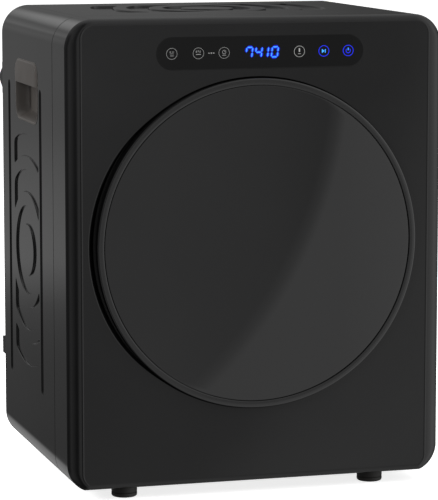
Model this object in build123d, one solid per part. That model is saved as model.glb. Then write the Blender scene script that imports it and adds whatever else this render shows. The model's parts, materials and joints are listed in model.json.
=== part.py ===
from build123d import *
import os
from math import atan2, degrees, sqrt

# Compact vented tumble dryer. Millimetres, +X right, +Y back, +Z up.
# The origin is on the floor, under the middle of the whole machine.

# ---- casing ----
BODY_W = 495.0              # width over the casing
BODY_H = 595.0              # height of the casing, without feet
FOOT_H = 16.5               # the feet lift the casing by this much
BODY_R = 37.0               # corner radius of the casing outline
CORNER_CUT = 3.0            # the flat underside cuts the bottom corner arcs this far up
STEEL = 1.2                 # casing sheet
PLASTIC = 2.5               # moulded walls
Z_LOW = FOOT_H
Z_TOP = FOOT_H + BODY_H

# ---- stations from front to back ----
Y_DISC = -210.0             # face of the smoked door disc
Y_RING = -209.0             # face of the door ring
Y_FACE = -200.0             # flat face of the front panel
Y_EDGE = -192.0             # where the soft front edge meets the sides
Y_FLOOR = -178.0            # floor of the round recess that takes the door
Y_COLLAR = -130.2           # back end of the mouth collar
Y_BULK = -126.0             # front bulkhead
Y_SEAM = -124.0             # joint between front panel and casing
Y_DRUM = -118.0             # front of the drum
Y_DRUM_BACK = 134.0         # back of the drum
Y_REAR_BULK = 148.0         # rear bulkhead
Y_FLANGE = 181.6            # folded rear flange of the casing
Y_REAR = 184.0              # outer face of the rear panel
Y_LUG = 210.0               # tips of the wall lugs
SEAM_GAP = 0.6
LUG_T = 2.0

# ---- door ----
Z_DOOR = 324.5              # height of the door and drum axis
R_DOOR = 210.5
R_DISC = 201.5
R_RECESS = 211.6
RECESS_SOFT = 0.8           # bevel round the recess
SCOOP_R = 204.3             # crescent that lets fingers behind the door's free edge
SCOOP_X = -12.7
SCOOP_SOFT = 3.0
R_MOUTH = 160.0
DISC_T = 3.5
Y_DOOR_BACK = -184.0
WEB_T = 2.4                 # web of the door frame, behind the disc
HINGE_X = 205.2             # in the ring's thickness, so the door's edge turns within the recess
HINGE_Y = -204.9
HINGE_PIN_R = 1.2
KNUCKLE_R = 2.3
KNUCKLE_HALF = 12.0         # half height of the moving knuckle
ARM_TOP = 24.5              # top of the fixed hinge arms, from the door axis
ARM_T = 3.0
LEAF_LEFT = 162.0           # the leaf's plate starts here on the door web
LEAF_HALF = 22.0
BRACKET_LEFT = 180.0
BRACKET_RIGHT = 208.0
BRACKET_HALF = 34.0
R_WEB = 150.0               # opening in the door frame, for the bowl
R_BOWL = 149.7
BOWL_T = 3.5
BOWL_STEP = 14.0            # the bowl starts this far in front of the door's back
BOWL_TAPER_R = 132.0
BOWL_REACH = 52.0           # the bowl's dome reaches this far behind the door's back

# ---- door latch ----
STRIKE_X = -180.0
BULB_Y = -163.0             # bulb of the strike, gripped by the jaws
BULB_R = 4.0
JAW_PIVOT_Y = -152.0
JAW_PIVOT_Z = 10.0          # above and below the strike
JAW_PIN_R = 1.5
JAW_HALF = 7.0              # half width of a jaw
CATCH_BACK = -144.0
CATCH_HALF_W = 12.0
CATCH_HALF_H = 21.0
CATCH_WALL = 2.5
SWITCH_X = STRIKE_X + 2
SWITCH_Z = Z_DOOR + 32
SWITCH_HALF = 9.0
PLUNGER_R = 2.5
BEHIND_FLOOR = 3.1          # parts on the back of the recess floor start this far behind its front

# ---- control panel ----
OVERLAY_W = 274.0
OVERLAY_H = 41.6
OVERLAY_X = 5.0
OVERLAY_Z = 566.9
OVERLAY_T = 2.0
KEY_XS = (-112.0, -77.5, -44.0, 55.0, 87.5, 120.0)
DISPLAY_X = 6.0
KEY_R = 7.0                 # outside of a key's ring mark
KEY_LINE = 1.2
BOARD_W = 262.0
BOARD_H = 34.0
BOARD_T = 1.6
BOARD_SETBACK = 10.0        # the board stands this far behind the face
BOARD_HOLE_XS = (-122.0, 132.0)

# ---- drum ----
R_DRUM = 218.0
R_LIP = 169.7
DRUM_T = 1.0
SHAFT_R = 8.0
R_NECK = 164.0              # inside of the neck that carries the front of the drum
R_GASKET = 168.0
LIFTER_COUNT = 3
SPIDER_ARMS = 3
SPIDER_T = 3.0
SHAFT_END = 174.0
BUSH_R = 14.0
BUSH_FRONT = 144.0
BUSH_BACK = 170.0
FELT_R = 150.0              # rear felt, outside and inside
FELT_INSIDE = 144.0
AIR_HOLE_R = 3.5
DRUM_HOLES = ((62, 18), (84, 24), (106, 30))  # radius and count of each circle of air holes

# ---- drive ----
MOTOR_X = 176.0
MOTOR_Z = 92.0
MOTOR_R = 44.0
MOTOR_FRONT = -40.0
MOTOR_BACK = 52.0
MOTOR_SHAFT_R = 5.0
PULLEY_R = 8.0
BELT_T = 2.0
BELT_GAP = 0.3
BELT_FRONT = 70.0
BELT_BACK = 82.0
IDLER_R = 14.0
IDLER_X = 140.0
ARM_PIVOT = (192.0, 44.0)
WHEEL_R = 54.0
RUN = 0.05                  # radial clearance of a shaft in its bush
SOFT_GAP = 0.3
MOTOR_WALL = 2.5
MOTOR_BOSS_R = 9.0
STATOR_R = 28.0             # bore of the stator
ROTOR_R = 27.4
ROTOR_FRONT = -112.0
ROTOR_BACK = 90.0
AXLE_R = 4.0                # axle of the idler and of its arm
IDLER_BOSS_R = 9.0

# ---- air path ----
SPIGOT_X = 70.0
SPIGOT_Z = 82.0
SPIGOT_R = 49.5             # takes a 100 mm duct
SPIGOT_END = 209.0
DUCT_LEFT = 22.0
DUCT_RIGHT = 112.0
DUCT_LOW = 26.0
DUCT_TOP = 84.0
DUCT_T = 1.6
PLENUM_HALF = 54.0          # the rear plenum is this far out from the spigot's axis
PLENUM_LOW = 31.0
BLOWER_R = 64.0
BLOWER_BACK = -80.0
BLOWER_LOW = 28.0           # bottom and top of the blower's outlet chute
BLOWER_TOP = 70.0
BLOWER_WALL = 1.8
INLET_R = 40.0
BLADE_COUNT = 24
HEATER_X = -88.0
HEATER_Z = 324.5
HEATER_BOX = 110.0
HEATER_SHEET = 1.5
HEATER_WINDOW = 96.0
FIN_COUNT = 12
FIN_PITCH = 6.0
SCREEN_FRONT = -153.0       # lint screen, front and back of its frame
SCREEN_BACK = -149.0
SCREEN_HALF = 77.0
SCREEN_LOW = 78.0
SCREEN_PITCH = 11.0
LINT_DUCT_T = 1.6
LINT_DUCT_HALF = 88.0
LINT_DUCT_RIGHT = 224.0

# ---- sides and feet ----
RELIEF = 2.2                # depth of the stamped pattern
PATTERN_Y = 35.0
PATTERN_Z = 294.5
PATTERN_HALF = 74.0
PATTERN_STRETCH = 1.16      # the rings are this much longer front to back than high
BANDS = ((34.0, 59.0), (77.0, 107.0), (124.5, 154.5))
SLOT_YS = (-52.0, 138.0)
SLOT_W = 14.0
SLOT_LOW = 114.5
SLOT_TOP = 513.5
TOP_PATTERN_Y = 30.0
TOP_PATTERN_HALF = 95.0
GRIP_Y = 28.0
GRIP_Z = 506.0
GRIP_W = 134.0
GRIP_H = 81.0
GRIP_R = 20.0
GRIP_DEPTH = 20.0
GRIP_WALL = 2.2
GRIP_PROUD = 1.0            # the finger plate stands this far out of the casing
GRIP_PLATE_T = 4.6
GRIP_PLATE_H = 32.0         # height of the plate that the fingers curl behind
GRIP_FRONT_GAP = 5.0        # between the front end of the plate and the pocket's front wall
FOOT_R = 16.5
FOOT_X = 166.0
FOOT_YS = (-162.0, 154.0)
FOOT_BOLT_R = 3.0
BOLT_HOLE = 3.1             # radius of the bolt's hole in a foot and in the tray
BOLT_SLACK = 3.4            # radius of the bolt's hole in the panel and the casing
TRAY_TOP = Z_LOW + 4.5
TRAY_SEAT = TRAY_TOP + 0.1  # parts that stand on the tray start here

# ---- rear ----
GLAND_X = -180.0
GLAND_Z = 80.0
GLAND_R = 8.0
LEAD_R = 3.9                # bore for a 7.5 mm supply lead
SCREW_R = 2.1
SCREW_HEAD_R = 4.0
SCREW_HOLE = 2.2
LUG_ZS = (500.0, 526.0)     # heights of the two screws in a lug
SPACER_Z = 141.0
OVER = 1.0                  # cutters pass the faces they open by this much


# ---- drawing helpers ----
def front_plane(y):
    """Sketch plane at depth y that faces the front: local x is +X and local y is +Z."""
    return Plane((0, y, 0), x_dir=(1, 0, 0), z_dir=(0, -1, 0))


def side_plane(x):
    """Sketch plane at x: local x is +Y and local y is +Z."""
    return Plane((x, 0, 0), x_dir=(0, 1, 0), z_dir=(1, 0, 0))


def along_y(sketch, y_front, y_back):
    """A sketch drawn in X and Z, made solid from y_front to y_back."""
    return extrude(front_plane(y_back) * sketch, y_back - y_front)


def along_x(sketch, x_low, x_high):
    """A sketch drawn in Y and Z, made solid from x_low to x_high."""
    return extrude(side_plane(x_low) * sketch, x_high - x_low)


def along_z(sketch, z_low, z_high):
    """A sketch drawn in X and Y, made solid from z_low to z_high."""
    return extrude(Plane.XY.offset(z_low) * sketch, z_high - z_low)


def block(x_low, x_high, y_low, y_high, z_low, z_high):
    """A box between two corners."""
    middle = ((x_low + x_high) / 2, (y_low + y_high) / 2, (z_low + z_high) / 2)
    return Pos(*middle) * Box(x_high - x_low, y_high - y_low, z_high - z_low)


def disc(r, x=0.0, z=Z_DOOR):
    """A circle in X and Z, on the drum axis unless told otherwise."""
    return Pos(x, z) * Circle(r)


def ring(r_outer, r_inner, x=0.0, z=Z_DOOR):
    return disc(r_outer, x, z) - disc(r_inner, x, z)


def mirrored(solid):
    """The same piece on the other side of the machine."""
    return mirror(solid, Plane.YZ)


def body_outline(inset_x=0.0, inset_z=None):
    """The rounded outline of the casing in X and Z, cut flat along its underside."""
    inset_z = inset_x if inset_z is None else inset_z
    low = Z_LOW + inset_z
    top = Z_TOP - inset_z
    r = BODY_R - max(inset_x, inset_z)
    width = BODY_W - 2 * inset_x
    round_low = low - CORNER_CUT
    rounded = Pos(0, (top + round_low) / 2) * RectangleRounded(width, top - round_low, r)
    kept = Pos(0, (top + low) / 2) * Rectangle(width, top - low)
    return rounded & kept


# ---- front panel and control panel ----
def overlay_outline(grow=0.0):
    shape = SlotOverall(OVERLAY_W + 2 * grow, OVERLAY_H + 2 * grow)
    return Pos(OVERLAY_X, OVERLAY_Z) * shape


def make_front_panel():
    """One moulding: soft front edge, round door recess, mouth collar and overlay pocket."""
    panel = along_y(body_outline(), Y_EDGE, Y_SEAM)
    face = body_outline(18.0, 6.0)
    panel += loft([front_plane(Y_EDGE) * body_outline(), front_plane(Y_FACE) * face], ruled=True)
    panel -= along_y(body_outline(PLASTIC), Y_EDGE + 3, Y_SEAM + OVER)
    panel -= along_y(body_outline(22.0), Y_FACE + 3, Y_EDGE + 4)
    hollows = ((R_RECESS, 0.0, RECESS_SOFT), (SCOOP_R, SCOOP_X, SCOOP_SOFT))
    for radius, x, _ in hollows:
        panel += along_y(disc(radius + PLASTIC, x), Y_FACE, Y_FLOOR + PLASTIC)
    for radius, x, soft in hollows:
        panel -= along_y(disc(radius, x), Y_FACE - OVER, Y_FLOOR)
        bevel_wide = front_plane(Y_FACE - OVER) * disc(radius + soft + OVER, x)
        bevel_end = front_plane(Y_FACE + soft) * disc(radius, x)
        panel -= loft([bevel_wide, bevel_end], ruled=True)
    panel += along_y(disc(R_MOUTH + 3), Y_FLOOR, Y_COLLAR)
    panel -= along_y(disc(R_MOUTH), Y_FLOOR - OVER, Y_COLLAR + OVER)
    panel -= along_y(overlay_outline(0.3), Y_FACE - OVER, Y_FACE + OVERLAY_T)
    panel -= along_y(overlay_outline(-5.0), Y_FACE, Y_FACE + 4)
    panel -= lint_slot_cutter()
    for side in (-1, 1):
        arm_z = Z_DOOR + side * (KNUCKLE_HALF + ARM_TOP) / 2
        arm_hole = Pos(HINGE_X, arm_z) * Rectangle(ARM_T + 1.5, ARM_TOP - KNUCKLE_HALF + 0.6)
        panel -= along_y(arm_hole, Y_FLOOR - OVER, Y_FLOOR + 4)
        panel -= along_z(Pos(side * FOOT_X, FOOT_YS[0]) * Circle(BOLT_SLACK), Z_LOW - OVER, Z_LOW + 4)
    strike_hole = Pos(STRIKE_X, Z_DOOR) * RectangleRounded(18, 16, 2)
    panel -= along_y(strike_hole, Y_FLOOR - OVER, Y_FLOOR + 4)
    panel -= along_y(disc(PLUNGER_R + 1, SWITCH_X, SWITCH_Z), Y_FLOOR - OVER, Y_FLOOR + 4)
    return panel


def lint_slot_cutter():
    """The air slot and screen slot in the bottom of the mouth collar."""
    return block(-80, 80, Y_FLOOR + 8, Y_COLLAR - 4, Z_DOOR - R_MOUTH - 6, Z_DOOR - 134)


def make_control_overlay():
    """Smoked stadium plate, flush with the face."""
    return along_y(overlay_outline(), Y_FACE, Y_FACE + OVERLAY_T - 0.2)


def make_key_marks():
    """Lit ring marks behind the overlay, one for each touch key."""
    marks = Part()
    for x in KEY_XS:
        mark = ring(KEY_R, KEY_R - KEY_LINE, x, OVERLAY_Z)
        marks += along_y(mark, Y_FACE + OVERLAY_T, Y_FACE + OVERLAY_T + 0.8)
    return marks


def make_control_board():
    """Board with the clock display and a sensing spring for each key on its front."""
    y_front = Y_FACE + BOARD_SETBACK
    y_back = y_front + BOARD_T
    board = along_y(Pos(OVERLAY_X, OVERLAY_Z) * Rectangle(BOARD_W, BOARD_H), y_front, y_back)
    for x in BOARD_HOLE_XS:
        board -= along_y(disc(1.8, x, OVERLAY_Z + 12), y_front - OVER, y_back + OVER)
    chips = block(-30, -14, y_back, y_back + 2.4, OVERLAY_Z - 8, OVERLAY_Z + 8)
    plug = block(70, 96, y_back, y_back + 6.4, OVERLAY_Z - 6, OVERLAY_Z + 4)
    display = along_y(Pos(DISPLAY_X, OVERLAY_Z) * Rectangle(50, 20), Y_FACE + 2.8, y_front)
    board += chips + plug + display
    for x in KEY_XS:
        spring = ring(KEY_R - 2, KEY_R - 2 - KEY_LINE, x, OVERLAY_Z)
        board += along_y(spring, Y_FACE + 3.4, y_front)
    return board


# ---- door ----
def make_door_ring():
    """Annular door frame: the visible ring, the web behind the disc, and two walls."""
    web_front = Y_DISC + DISC_T + 0.3
    frame = along_y(ring(R_DOOR, R_DISC + 0.3), Y_RING, web_front + WEB_T)
    frame += along_y(ring(R_DISC + 1, R_WEB), web_front, web_front + WEB_T)
    frame += along_y(ring(R_DOOR, R_DOOR - 3), Y_RING + 3, Y_DOOR_BACK)
    frame += along_y(ring(R_WEB + 3, R_WEB), web_front, Y_DOOR_BACK)
    outer_edge = frame.edges().filter_by(GeomType.CIRCLE).filter_by(
        lambda e: abs(e.radius - R_DOOR) < 0.1
    )
    frame = fillet(outer_edge, 1.4)
    y_knuckle = HINGE_Y - KNUCKLE_R - 0.5
    arm_space = block(HINGE_X - 5, R_DOOR + 5, y_knuckle, Y_DOOR_BACK + OVER,
                      Z_DOOR - ARM_TOP - 1.5, Z_DOOR + ARM_TOP + 1.5)
    return frame - arm_space


def make_door_disc():
    plate = along_y(disc(R_DISC), Y_DISC, Y_DISC + DISC_T)
    front_edge = plate.edges().group_by(Axis.Y)[0]
    return fillet(front_edge, 0.9)


def make_door_inner_ring():
    """Rear cover of the door, with room for the hinge arms and a seat for the strike."""
    cover = along_y(ring(R_DOOR - 3.3, R_WEB + 3.3), Y_DOOR_BACK - 2.4, Y_DOOR_BACK)
    cover -= block(HINGE_X - 9, R_DOOR + 5, Y_DOOR_BACK - 4, Y_DOOR_BACK + OVER,
                   Z_DOOR - ARM_TOP - 3, Z_DOOR + ARM_TOP + 3)
    return cover


def make_door_bowl():
    """Clear bowl that closes the drum mouth: a flange, a taper and a domed end."""
    y_front = Y_DOOR_BACK - BOWL_STEP
    y_end = Y_DOOR_BACK + BOWL_REACH
    flange = along_y(ring(R_BOWL, 138.0), y_front, y_front + 3)
    outer = [(0, y_end), (118, y_end - 2), (BOWL_TAPER_R, y_end - 6),
             (R_BOWL, Y_DOOR_BACK + 2), (R_BOWL, y_front)]
    inner = [(R_BOWL - BOWL_T, y_front), (R_BOWL - BOWL_T, Y_DOOR_BACK + 1),
             (BOWL_TAPER_R - 3.2, y_end - 8), (117, y_end - 2 - BOWL_T), (0, y_end - BOWL_T)]
    profile = Polyline(*outer, *inner, close=True)
    shell = revolve(make_face(profile), Axis.Y)
    return Pos(0, 0, Z_DOOR) * shell + flange


def make_hinge_leaf():
    """Moving leaf: a plate on the door web and the middle knuckle."""
    y_plate = Y_DISC + DISC_T + 0.3 + WEB_T
    plate = block(LEAF_LEFT, HINGE_X - 5, y_plate, y_plate + 2,
                  Z_DOOR - LEAF_HALF, Z_DOOR + LEAF_HALF)
    tongue = block(HINGE_X - 6, HINGE_X, y_plate + 0.1, y_plate + 3.5,
                   Z_DOOR - KNUCKLE_HALF + 0.3, Z_DOOR + KNUCKLE_HALF - 0.3)
    barrel_outline = Pos(HINGE_X, HINGE_Y) * Circle(KNUCKLE_R)
    z_span = (Z_DOOR - KNUCKLE_HALF + 0.3, Z_DOOR + KNUCKLE_HALF - 0.3)
    leaf = plate + tongue + along_z(barrel_outline, *z_span)
    bore = Pos(HINGE_X, HINGE_Y) * Circle(HINGE_PIN_R + RUN)
    return leaf - along_z(bore, z_span[0] - OVER, z_span[1] + OVER)


def make_hinge_bracket():
    """Fixed bracket: a plate behind the recess floor and two arms that reach forward."""
    y_plate = Y_FLOOR + BEHIND_FLOOR
    bracket = block(BRACKET_LEFT, BRACKET_RIGHT, y_plate, y_plate + 2,
                    Z_DOOR - BRACKET_HALF, Z_DOOR + BRACKET_HALF)
    for side in (-1, 1):
        low, high = sorted((side * KNUCKLE_HALF, side * ARM_TOP))
        bracket += block(HINGE_X - ARM_T / 2, HINGE_X + ARM_T / 2, HINGE_Y, Y_FLOOR + 4,
                         Z_DOOR + low, Z_DOOR + high)
        knuckle = Pos(HINGE_X, HINGE_Y) * Circle(KNUCKLE_R)
        bracket += along_z(knuckle, Z_DOOR + low, Z_DOOR + high)
    bore = Pos(HINGE_X, HINGE_Y) * Circle(HINGE_PIN_R + 0.02)
    return bracket - along_z(bore, Z_DOOR - ARM_TOP - OVER, Z_DOOR + ARM_TOP + OVER)


def make_hinge_pin():
    shank = Pos(HINGE_X, HINGE_Y) * Circle(HINGE_PIN_R)
    return along_z(shank, Z_DOOR - ARM_TOP, Z_DOOR + ARM_TOP)


def make_door_strike():
    """Latch tongue on the back of the door, with a bulb that the catch jaws grip."""
    left, right = STRIKE_X - 5, STRIKE_X + 5
    foot = block(left - 7, right + 7, Y_DOOR_BACK, Y_DOOR_BACK + 1.6, Z_DOOR - 8, Z_DOOR + 8)
    tongue = block(left, right, Y_DOOR_BACK + 1, BULB_Y, Z_DOOR - 2.5, Z_DOOR + 2.5)
    bulb = along_x(Pos(BULB_Y, Z_DOOR) * Circle(BULB_R), left, right)
    return foot + tongue + bulb


def make_catch_housing():
    """Box behind the recess floor with two pins for the jaws."""
    half_w, half_h = CATCH_HALF_W, CATCH_HALF_H
    box = block(STRIKE_X - half_w, STRIKE_X + half_w, Y_FLOOR + BEHIND_FLOOR, CATCH_BACK,
                Z_DOOR - half_h, Z_DOOR + half_h)
    half_w -= CATCH_WALL
    half_h -= CATCH_WALL
    box -= block(STRIKE_X - half_w, STRIKE_X + half_w, Y_FLOOR + 2, CATCH_BACK - 3,
                 Z_DOOR - half_h, Z_DOOR + half_h)
    for side in (-1, 1):
        pin = Pos(JAW_PIVOT_Y, Z_DOOR + side * JAW_PIVOT_Z) * Circle(JAW_PIN_R)
        box += along_x(pin, STRIKE_X - half_w - 1.5, STRIKE_X + half_w + 1.5)
    return box


def make_catch_jaw(side):
    """A jaw that grips in front of the strike bulb. side is 1 for the upper jaw."""
    heel = [(3.5, -2.5), (3.5, 2.5)]
    nose = [(-19, 0.5), (-20.5, -4), (-18.8, -6.8), (-16.6, -6.8), (-15.4, -2.8), (-6, -2.6)]
    outline = Polyline(*heel, *nose, close=True)
    jaw = along_x(make_face(outline), STRIKE_X - JAW_HALF, STRIKE_X + JAW_HALF)
    bore = Circle(JAW_PIN_R + RUN)
    jaw -= along_x(bore, STRIKE_X - JAW_HALF - OVER, STRIKE_X + JAW_HALF + OVER)
    jaw = Pos(0, JAW_PIVOT_Y, JAW_PIVOT_Z) * jaw
    if side < 0:
        jaw = mirror(jaw, Plane.XY)
    return Pos(0, 0, Z_DOOR) * jaw


def make_door_switch():
    """Switch body behind the recess floor, bored for its plunger."""
    body = block(SWITCH_X - SWITCH_HALF, SWITCH_X + SWITCH_HALF, Y_FLOOR + BEHIND_FLOOR, Y_FLOOR + 24,
                 SWITCH_Z - SWITCH_HALF - 0.5, SWITCH_Z + SWITCH_HALF + 0.5)
    return body - along_y(disc(PLUNGER_R + RUN, SWITCH_X, SWITCH_Z), Y_FLOOR + 2, Y_FLOOR + 16)


def make_switch_plunger():
    """Sprung plunger, held in by the closed door."""
    return along_y(disc(PLUNGER_R, SWITCH_X, SWITCH_Z), Y_DOOR_BACK + SOFT_GAP, Y_FLOOR + 12)


# ---- mouth, bulkheads and drum ----
def make_mouth_gasket():
    return along_y(ring(R_GASKET, R_MOUTH + 0.5), Y_COLLAR + 0.2, Y_BULK)


def tray_clearance(y):
    """Cutter for the bottom edge of a bulkhead at y, which stands over the base tray."""
    return block(-230, 230, y - 3, y + 5, Z_LOW - OVER, Z_LOW + 5)


def make_front_bulkhead():
    """Plate across the machine with the neck that carries the front of the drum."""
    plate = along_y(body_outline(3.0), Y_BULK, Y_BULK + 1.6)
    plate -= along_y(disc(R_NECK), Y_BULK - OVER, Y_BULK + 3)
    plate -= along_y(disc(INLET_R + 2.4, MOTOR_X, MOTOR_Z), Y_BULK - OVER, Y_BULK + 3)
    plate -= tray_clearance(Y_BULK)
    return plate + along_y(ring(R_NECK + STEEL, R_NECK), Y_BULK, Y_DRUM + 12)


def make_drum_felt():
    """Felt ring on the neck, which the drum lip slides on."""
    return along_y(ring(R_LIP - SOFT_GAP, R_NECK + STEEL), Y_DRUM - 2, Y_DRUM + 11)


def make_drum_shell():
    """Steel drum, rolled from three sheets: skin, front flange with a turned lip, perforated back."""
    r_inside = R_DRUM - DRUM_T
    skin = along_y(ring(R_DRUM, r_inside), Y_DRUM, Y_DRUM_BACK)
    flange = along_y(ring(r_inside, R_LIP), Y_DRUM, Y_DRUM + DRUM_T)
    flange += along_y(ring(R_LIP + DRUM_T, R_LIP), Y_DRUM, Y_DRUM + 12)
    back = along_y(disc(r_inside), Y_DRUM_BACK - DRUM_T, Y_DRUM_BACK)
    for radius, count in DRUM_HOLES:
        holes = Sketch() + [place * Circle(AIR_HOLE_R) for place in PolarLocations(radius, count)]
        back -= along_y(Pos(0, Z_DOOR) * holes, Y_DRUM_BACK - 3, Y_DRUM_BACK + OVER)
    return Compound(children=[skin, flange, back])


def make_drum_lifters():
    """Baffles that lift the clothes, seated on the inside of the drum skin."""
    half_foot, half_tip, r_tip = 27.0, 7.0, 172.0
    outline = Polyline((-half_foot, R_DRUM), (half_foot, R_DRUM), (half_tip, r_tip),
                       (-half_tip, r_tip), close=True)
    lifter = along_y(make_face(outline), Y_DRUM + 16, Y_DRUM_BACK - 22)
    lifter = fillet(lifter.edges().filter_by(Axis.Y).sort_by(Axis.Z)[:2], 5.0)
    lifter &= along_y(disc(R_DRUM - DRUM_T, 0, 0), Y_DRUM, Y_DRUM_BACK)
    lifters = Part()
    for index in range(LIFTER_COUNT):
        lifters += Pos(0, 0, Z_DOOR) * (Rot(0, 60 + 360 / LIFTER_COUNT * index, 0) * lifter)
    return lifters


def make_drum_spider():
    """Three-armed plate on the back of the drum, with the stub shaft."""
    y_back = Y_DRUM_BACK + SPIDER_T
    spider = along_y(disc(34.0), Y_DRUM_BACK, y_back)
    for index in range(SPIDER_ARMS):
        arm = along_y(Pos(0, 105) * RectangleRounded(26, 196, 12), Y_DRUM_BACK, y_back)
        spider += Pos(0, 0, Z_DOOR) * (Rot(0, 360 / SPIDER_ARMS * index, 0) * arm)
    return spider + along_y(disc(SHAFT_R), Y_DRUM_BACK, SHAFT_END)


def make_drum_bush():
    return along_y(ring(BUSH_R, SHAFT_R + RUN), BUSH_FRONT, BUSH_BACK)


def heater_window():
    return Pos(HEATER_X, HEATER_Z) * Rectangle(HEATER_WINDOW, HEATER_WINDOW)


def make_rear_bulkhead():
    """Plate behind the drum with a boss for the bush and a window for the hot air."""
    plate = along_y(body_outline(3.0), Y_REAR_BULK, Y_REAR_BULK + 2)
    plate += along_y(disc(BUSH_R + 10), Y_REAR_BULK, BUSH_BACK - 2)
    plate -= along_y(disc(BUSH_R), Y_REAR_BULK - OVER, BUSH_BACK)
    plate -= along_y(heater_window(), Y_REAR_BULK - OVER, Y_REAR_BULK + 3)
    duct_hole = block(DUCT_LEFT - 0.6, DUCT_RIGHT + 0.6, Y_REAR_BULK - OVER, Y_REAR_BULK + 3,
                      Z_LOW, DUCT_TOP + 0.6)
    return plate - duct_hole - tray_clearance(Y_REAR_BULK)


def make_rear_felt():
    """Ring that keeps the hot air inside the perforated circle of the drum back."""
    return along_y(ring(FELT_R, FELT_INSIDE), Y_DRUM_BACK + SPIDER_T + SOFT_GAP, Y_REAR_BULK)


# ---- heater ----
def make_heater_housing():
    """Open-fronted sheet box between the rear bulkhead and the rear panel."""
    clear = HEATER_BOX - 2 * HEATER_SHEET
    outer = Pos(HEATER_X, HEATER_Z) * Rectangle(HEATER_BOX, HEATER_BOX)
    inner = Pos(HEATER_X, HEATER_Z) * Rectangle(clear, clear)
    y_front = Y_REAR_BULK + 2
    lip = along_y(outer - heater_window(), y_front, y_front + 2)
    return along_y(outer - inner, y_front, Y_FLANGE) + lip


def make_heater_element():
    """Finned block of the warm-air heater."""
    outer = Pos(HEATER_X, HEATER_Z) * Rectangle(100, 80)
    inner = Pos(HEATER_X, HEATER_Z) * Rectangle(94, 74)
    element = along_y(outer - inner, 158, 174)
    for step in range(FIN_COUNT):
        z = HEATER_Z + FIN_PITCH * (step - (FIN_COUNT - 1) / 2)
        element += block(HEATER_X - 48, HEATER_X + 48, 160, 172, z - 0.9, z + 0.9)
    return element


# ---- lint screen and air ducts ----
def make_lint_filter():
    """Screen that slides into the collar: frame, lattice and finger lip."""
    half, low = SCREEN_HALF - 6, SCREEN_LOW + 6
    y_front, y_back = SCREEN_FRONT + 1, SCREEN_BACK - 1
    frame = block(-SCREEN_HALF, SCREEN_HALF, SCREEN_FRONT, SCREEN_BACK, SCREEN_LOW, 183)
    frame -= block(-half, half, SCREEN_FRONT - OVER, SCREEN_BACK + OVER, low, 160)
    for step in range(13):
        x = -66 + SCREEN_PITCH * step
        frame += block(x - 0.7, x + 0.7, y_front, y_back, low - OVER, 161)
    for step in range(6):
        z = low + 10 + SCREEN_PITCH * step
        frame += block(-half - OVER, half + OVER, y_front, y_back, z - 0.7, z + 0.7)
    above_collar = along_y(disc(R_MOUTH + 0.5), SCREEN_FRONT - 7, SCREEN_BACK + 9)
    return frame - above_collar


def make_lint_duct():
    """Box under the collar that leads the air from the screen to the blower inlet."""
    walls = LINT_DUCT_T
    left, right, far = -LINT_DUCT_HALF, LINT_DUCT_HALF, LINT_DUCT_RIGHT
    y_front, y_back = Y_FLOOR + 7, Y_BULK - 7
    outer = block(left, right, y_front, y_back, 60, 182) + block(left, far, y_front, y_back, 40, 140)
    y_in, y_out = y_front + walls, y_back - walls
    inner = block(left + walls, right - walls, y_in, y_out, 60 + walls, 190)
    inner += block(left + walls, far - walls, y_in, y_out, 40 + walls, 140 - walls)
    duct = outer - inner
    duct -= along_y(disc(R_MOUTH + 3.4), y_front - OVER, y_back + OVER)
    duct += along_y(ring(INLET_R + 2, INLET_R, MOTOR_X, MOTOR_Z), y_back - walls, Y_BULK + 1.4)
    return duct - along_y(disc(INLET_R, MOTOR_X, MOTOR_Z), y_back - 3, Y_BULK + 2)


def make_blower_housing():
    """Drum-shaped blower casing with an inlet in front and an outlet chute to the left."""
    wall = BLOWER_WALL
    y_front, y_back = Y_BULK + wall, BLOWER_BACK
    casing = along_y(disc(BLOWER_R, MOTOR_X, MOTOR_Z), y_front, y_back)
    casing += block(DUCT_RIGHT, MOTOR_X, y_front, y_back, BLOWER_LOW, BLOWER_TOP)
    casing -= along_y(disc(BLOWER_R - wall, MOTOR_X, MOTOR_Z), y_front + wall, y_back - wall)
    casing -= block(DUCT_RIGHT - OVER, MOTOR_X, y_front + wall, y_back - wall,
                    BLOWER_LOW + wall, BLOWER_TOP - wall)
    casing -= along_y(disc(INLET_R, MOTOR_X, MOTOR_Z), y_front - OVER, y_front + 3)
    return casing - along_y(disc(MOTOR_BOSS_R, MOTOR_X, MOTOR_Z), y_back - 3, y_back + OVER)


def make_blower_wheel():
    """Squirrel-cage wheel: back plate, hub, blades and a front ring."""
    back, front = BLOWER_BACK - 10, Y_BULK + 10
    wheel = along_y(ring(WHEEL_R, MOTOR_SHAFT_R, MOTOR_X, MOTOR_Z), back, back + 2)
    wheel += along_y(ring(12.0, MOTOR_SHAFT_R, MOTOR_X, MOTOR_Z), back - 16, back + 2)
    wheel += along_y(ring(WHEEL_R, WHEEL_R - 10, MOTOR_X, MOTOR_Z), front, front + 2)
    blade = Rot(0, 0, 28) * Rectangle(9.5, 1.4)
    blades = Sketch() + [place * blade for place in PolarLocations(WHEEL_R - 5.5, BLADE_COUNT)]
    return wheel + along_y(Pos(MOTOR_X, MOTOR_Z) * blades, front + 1, back + 1)


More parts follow.
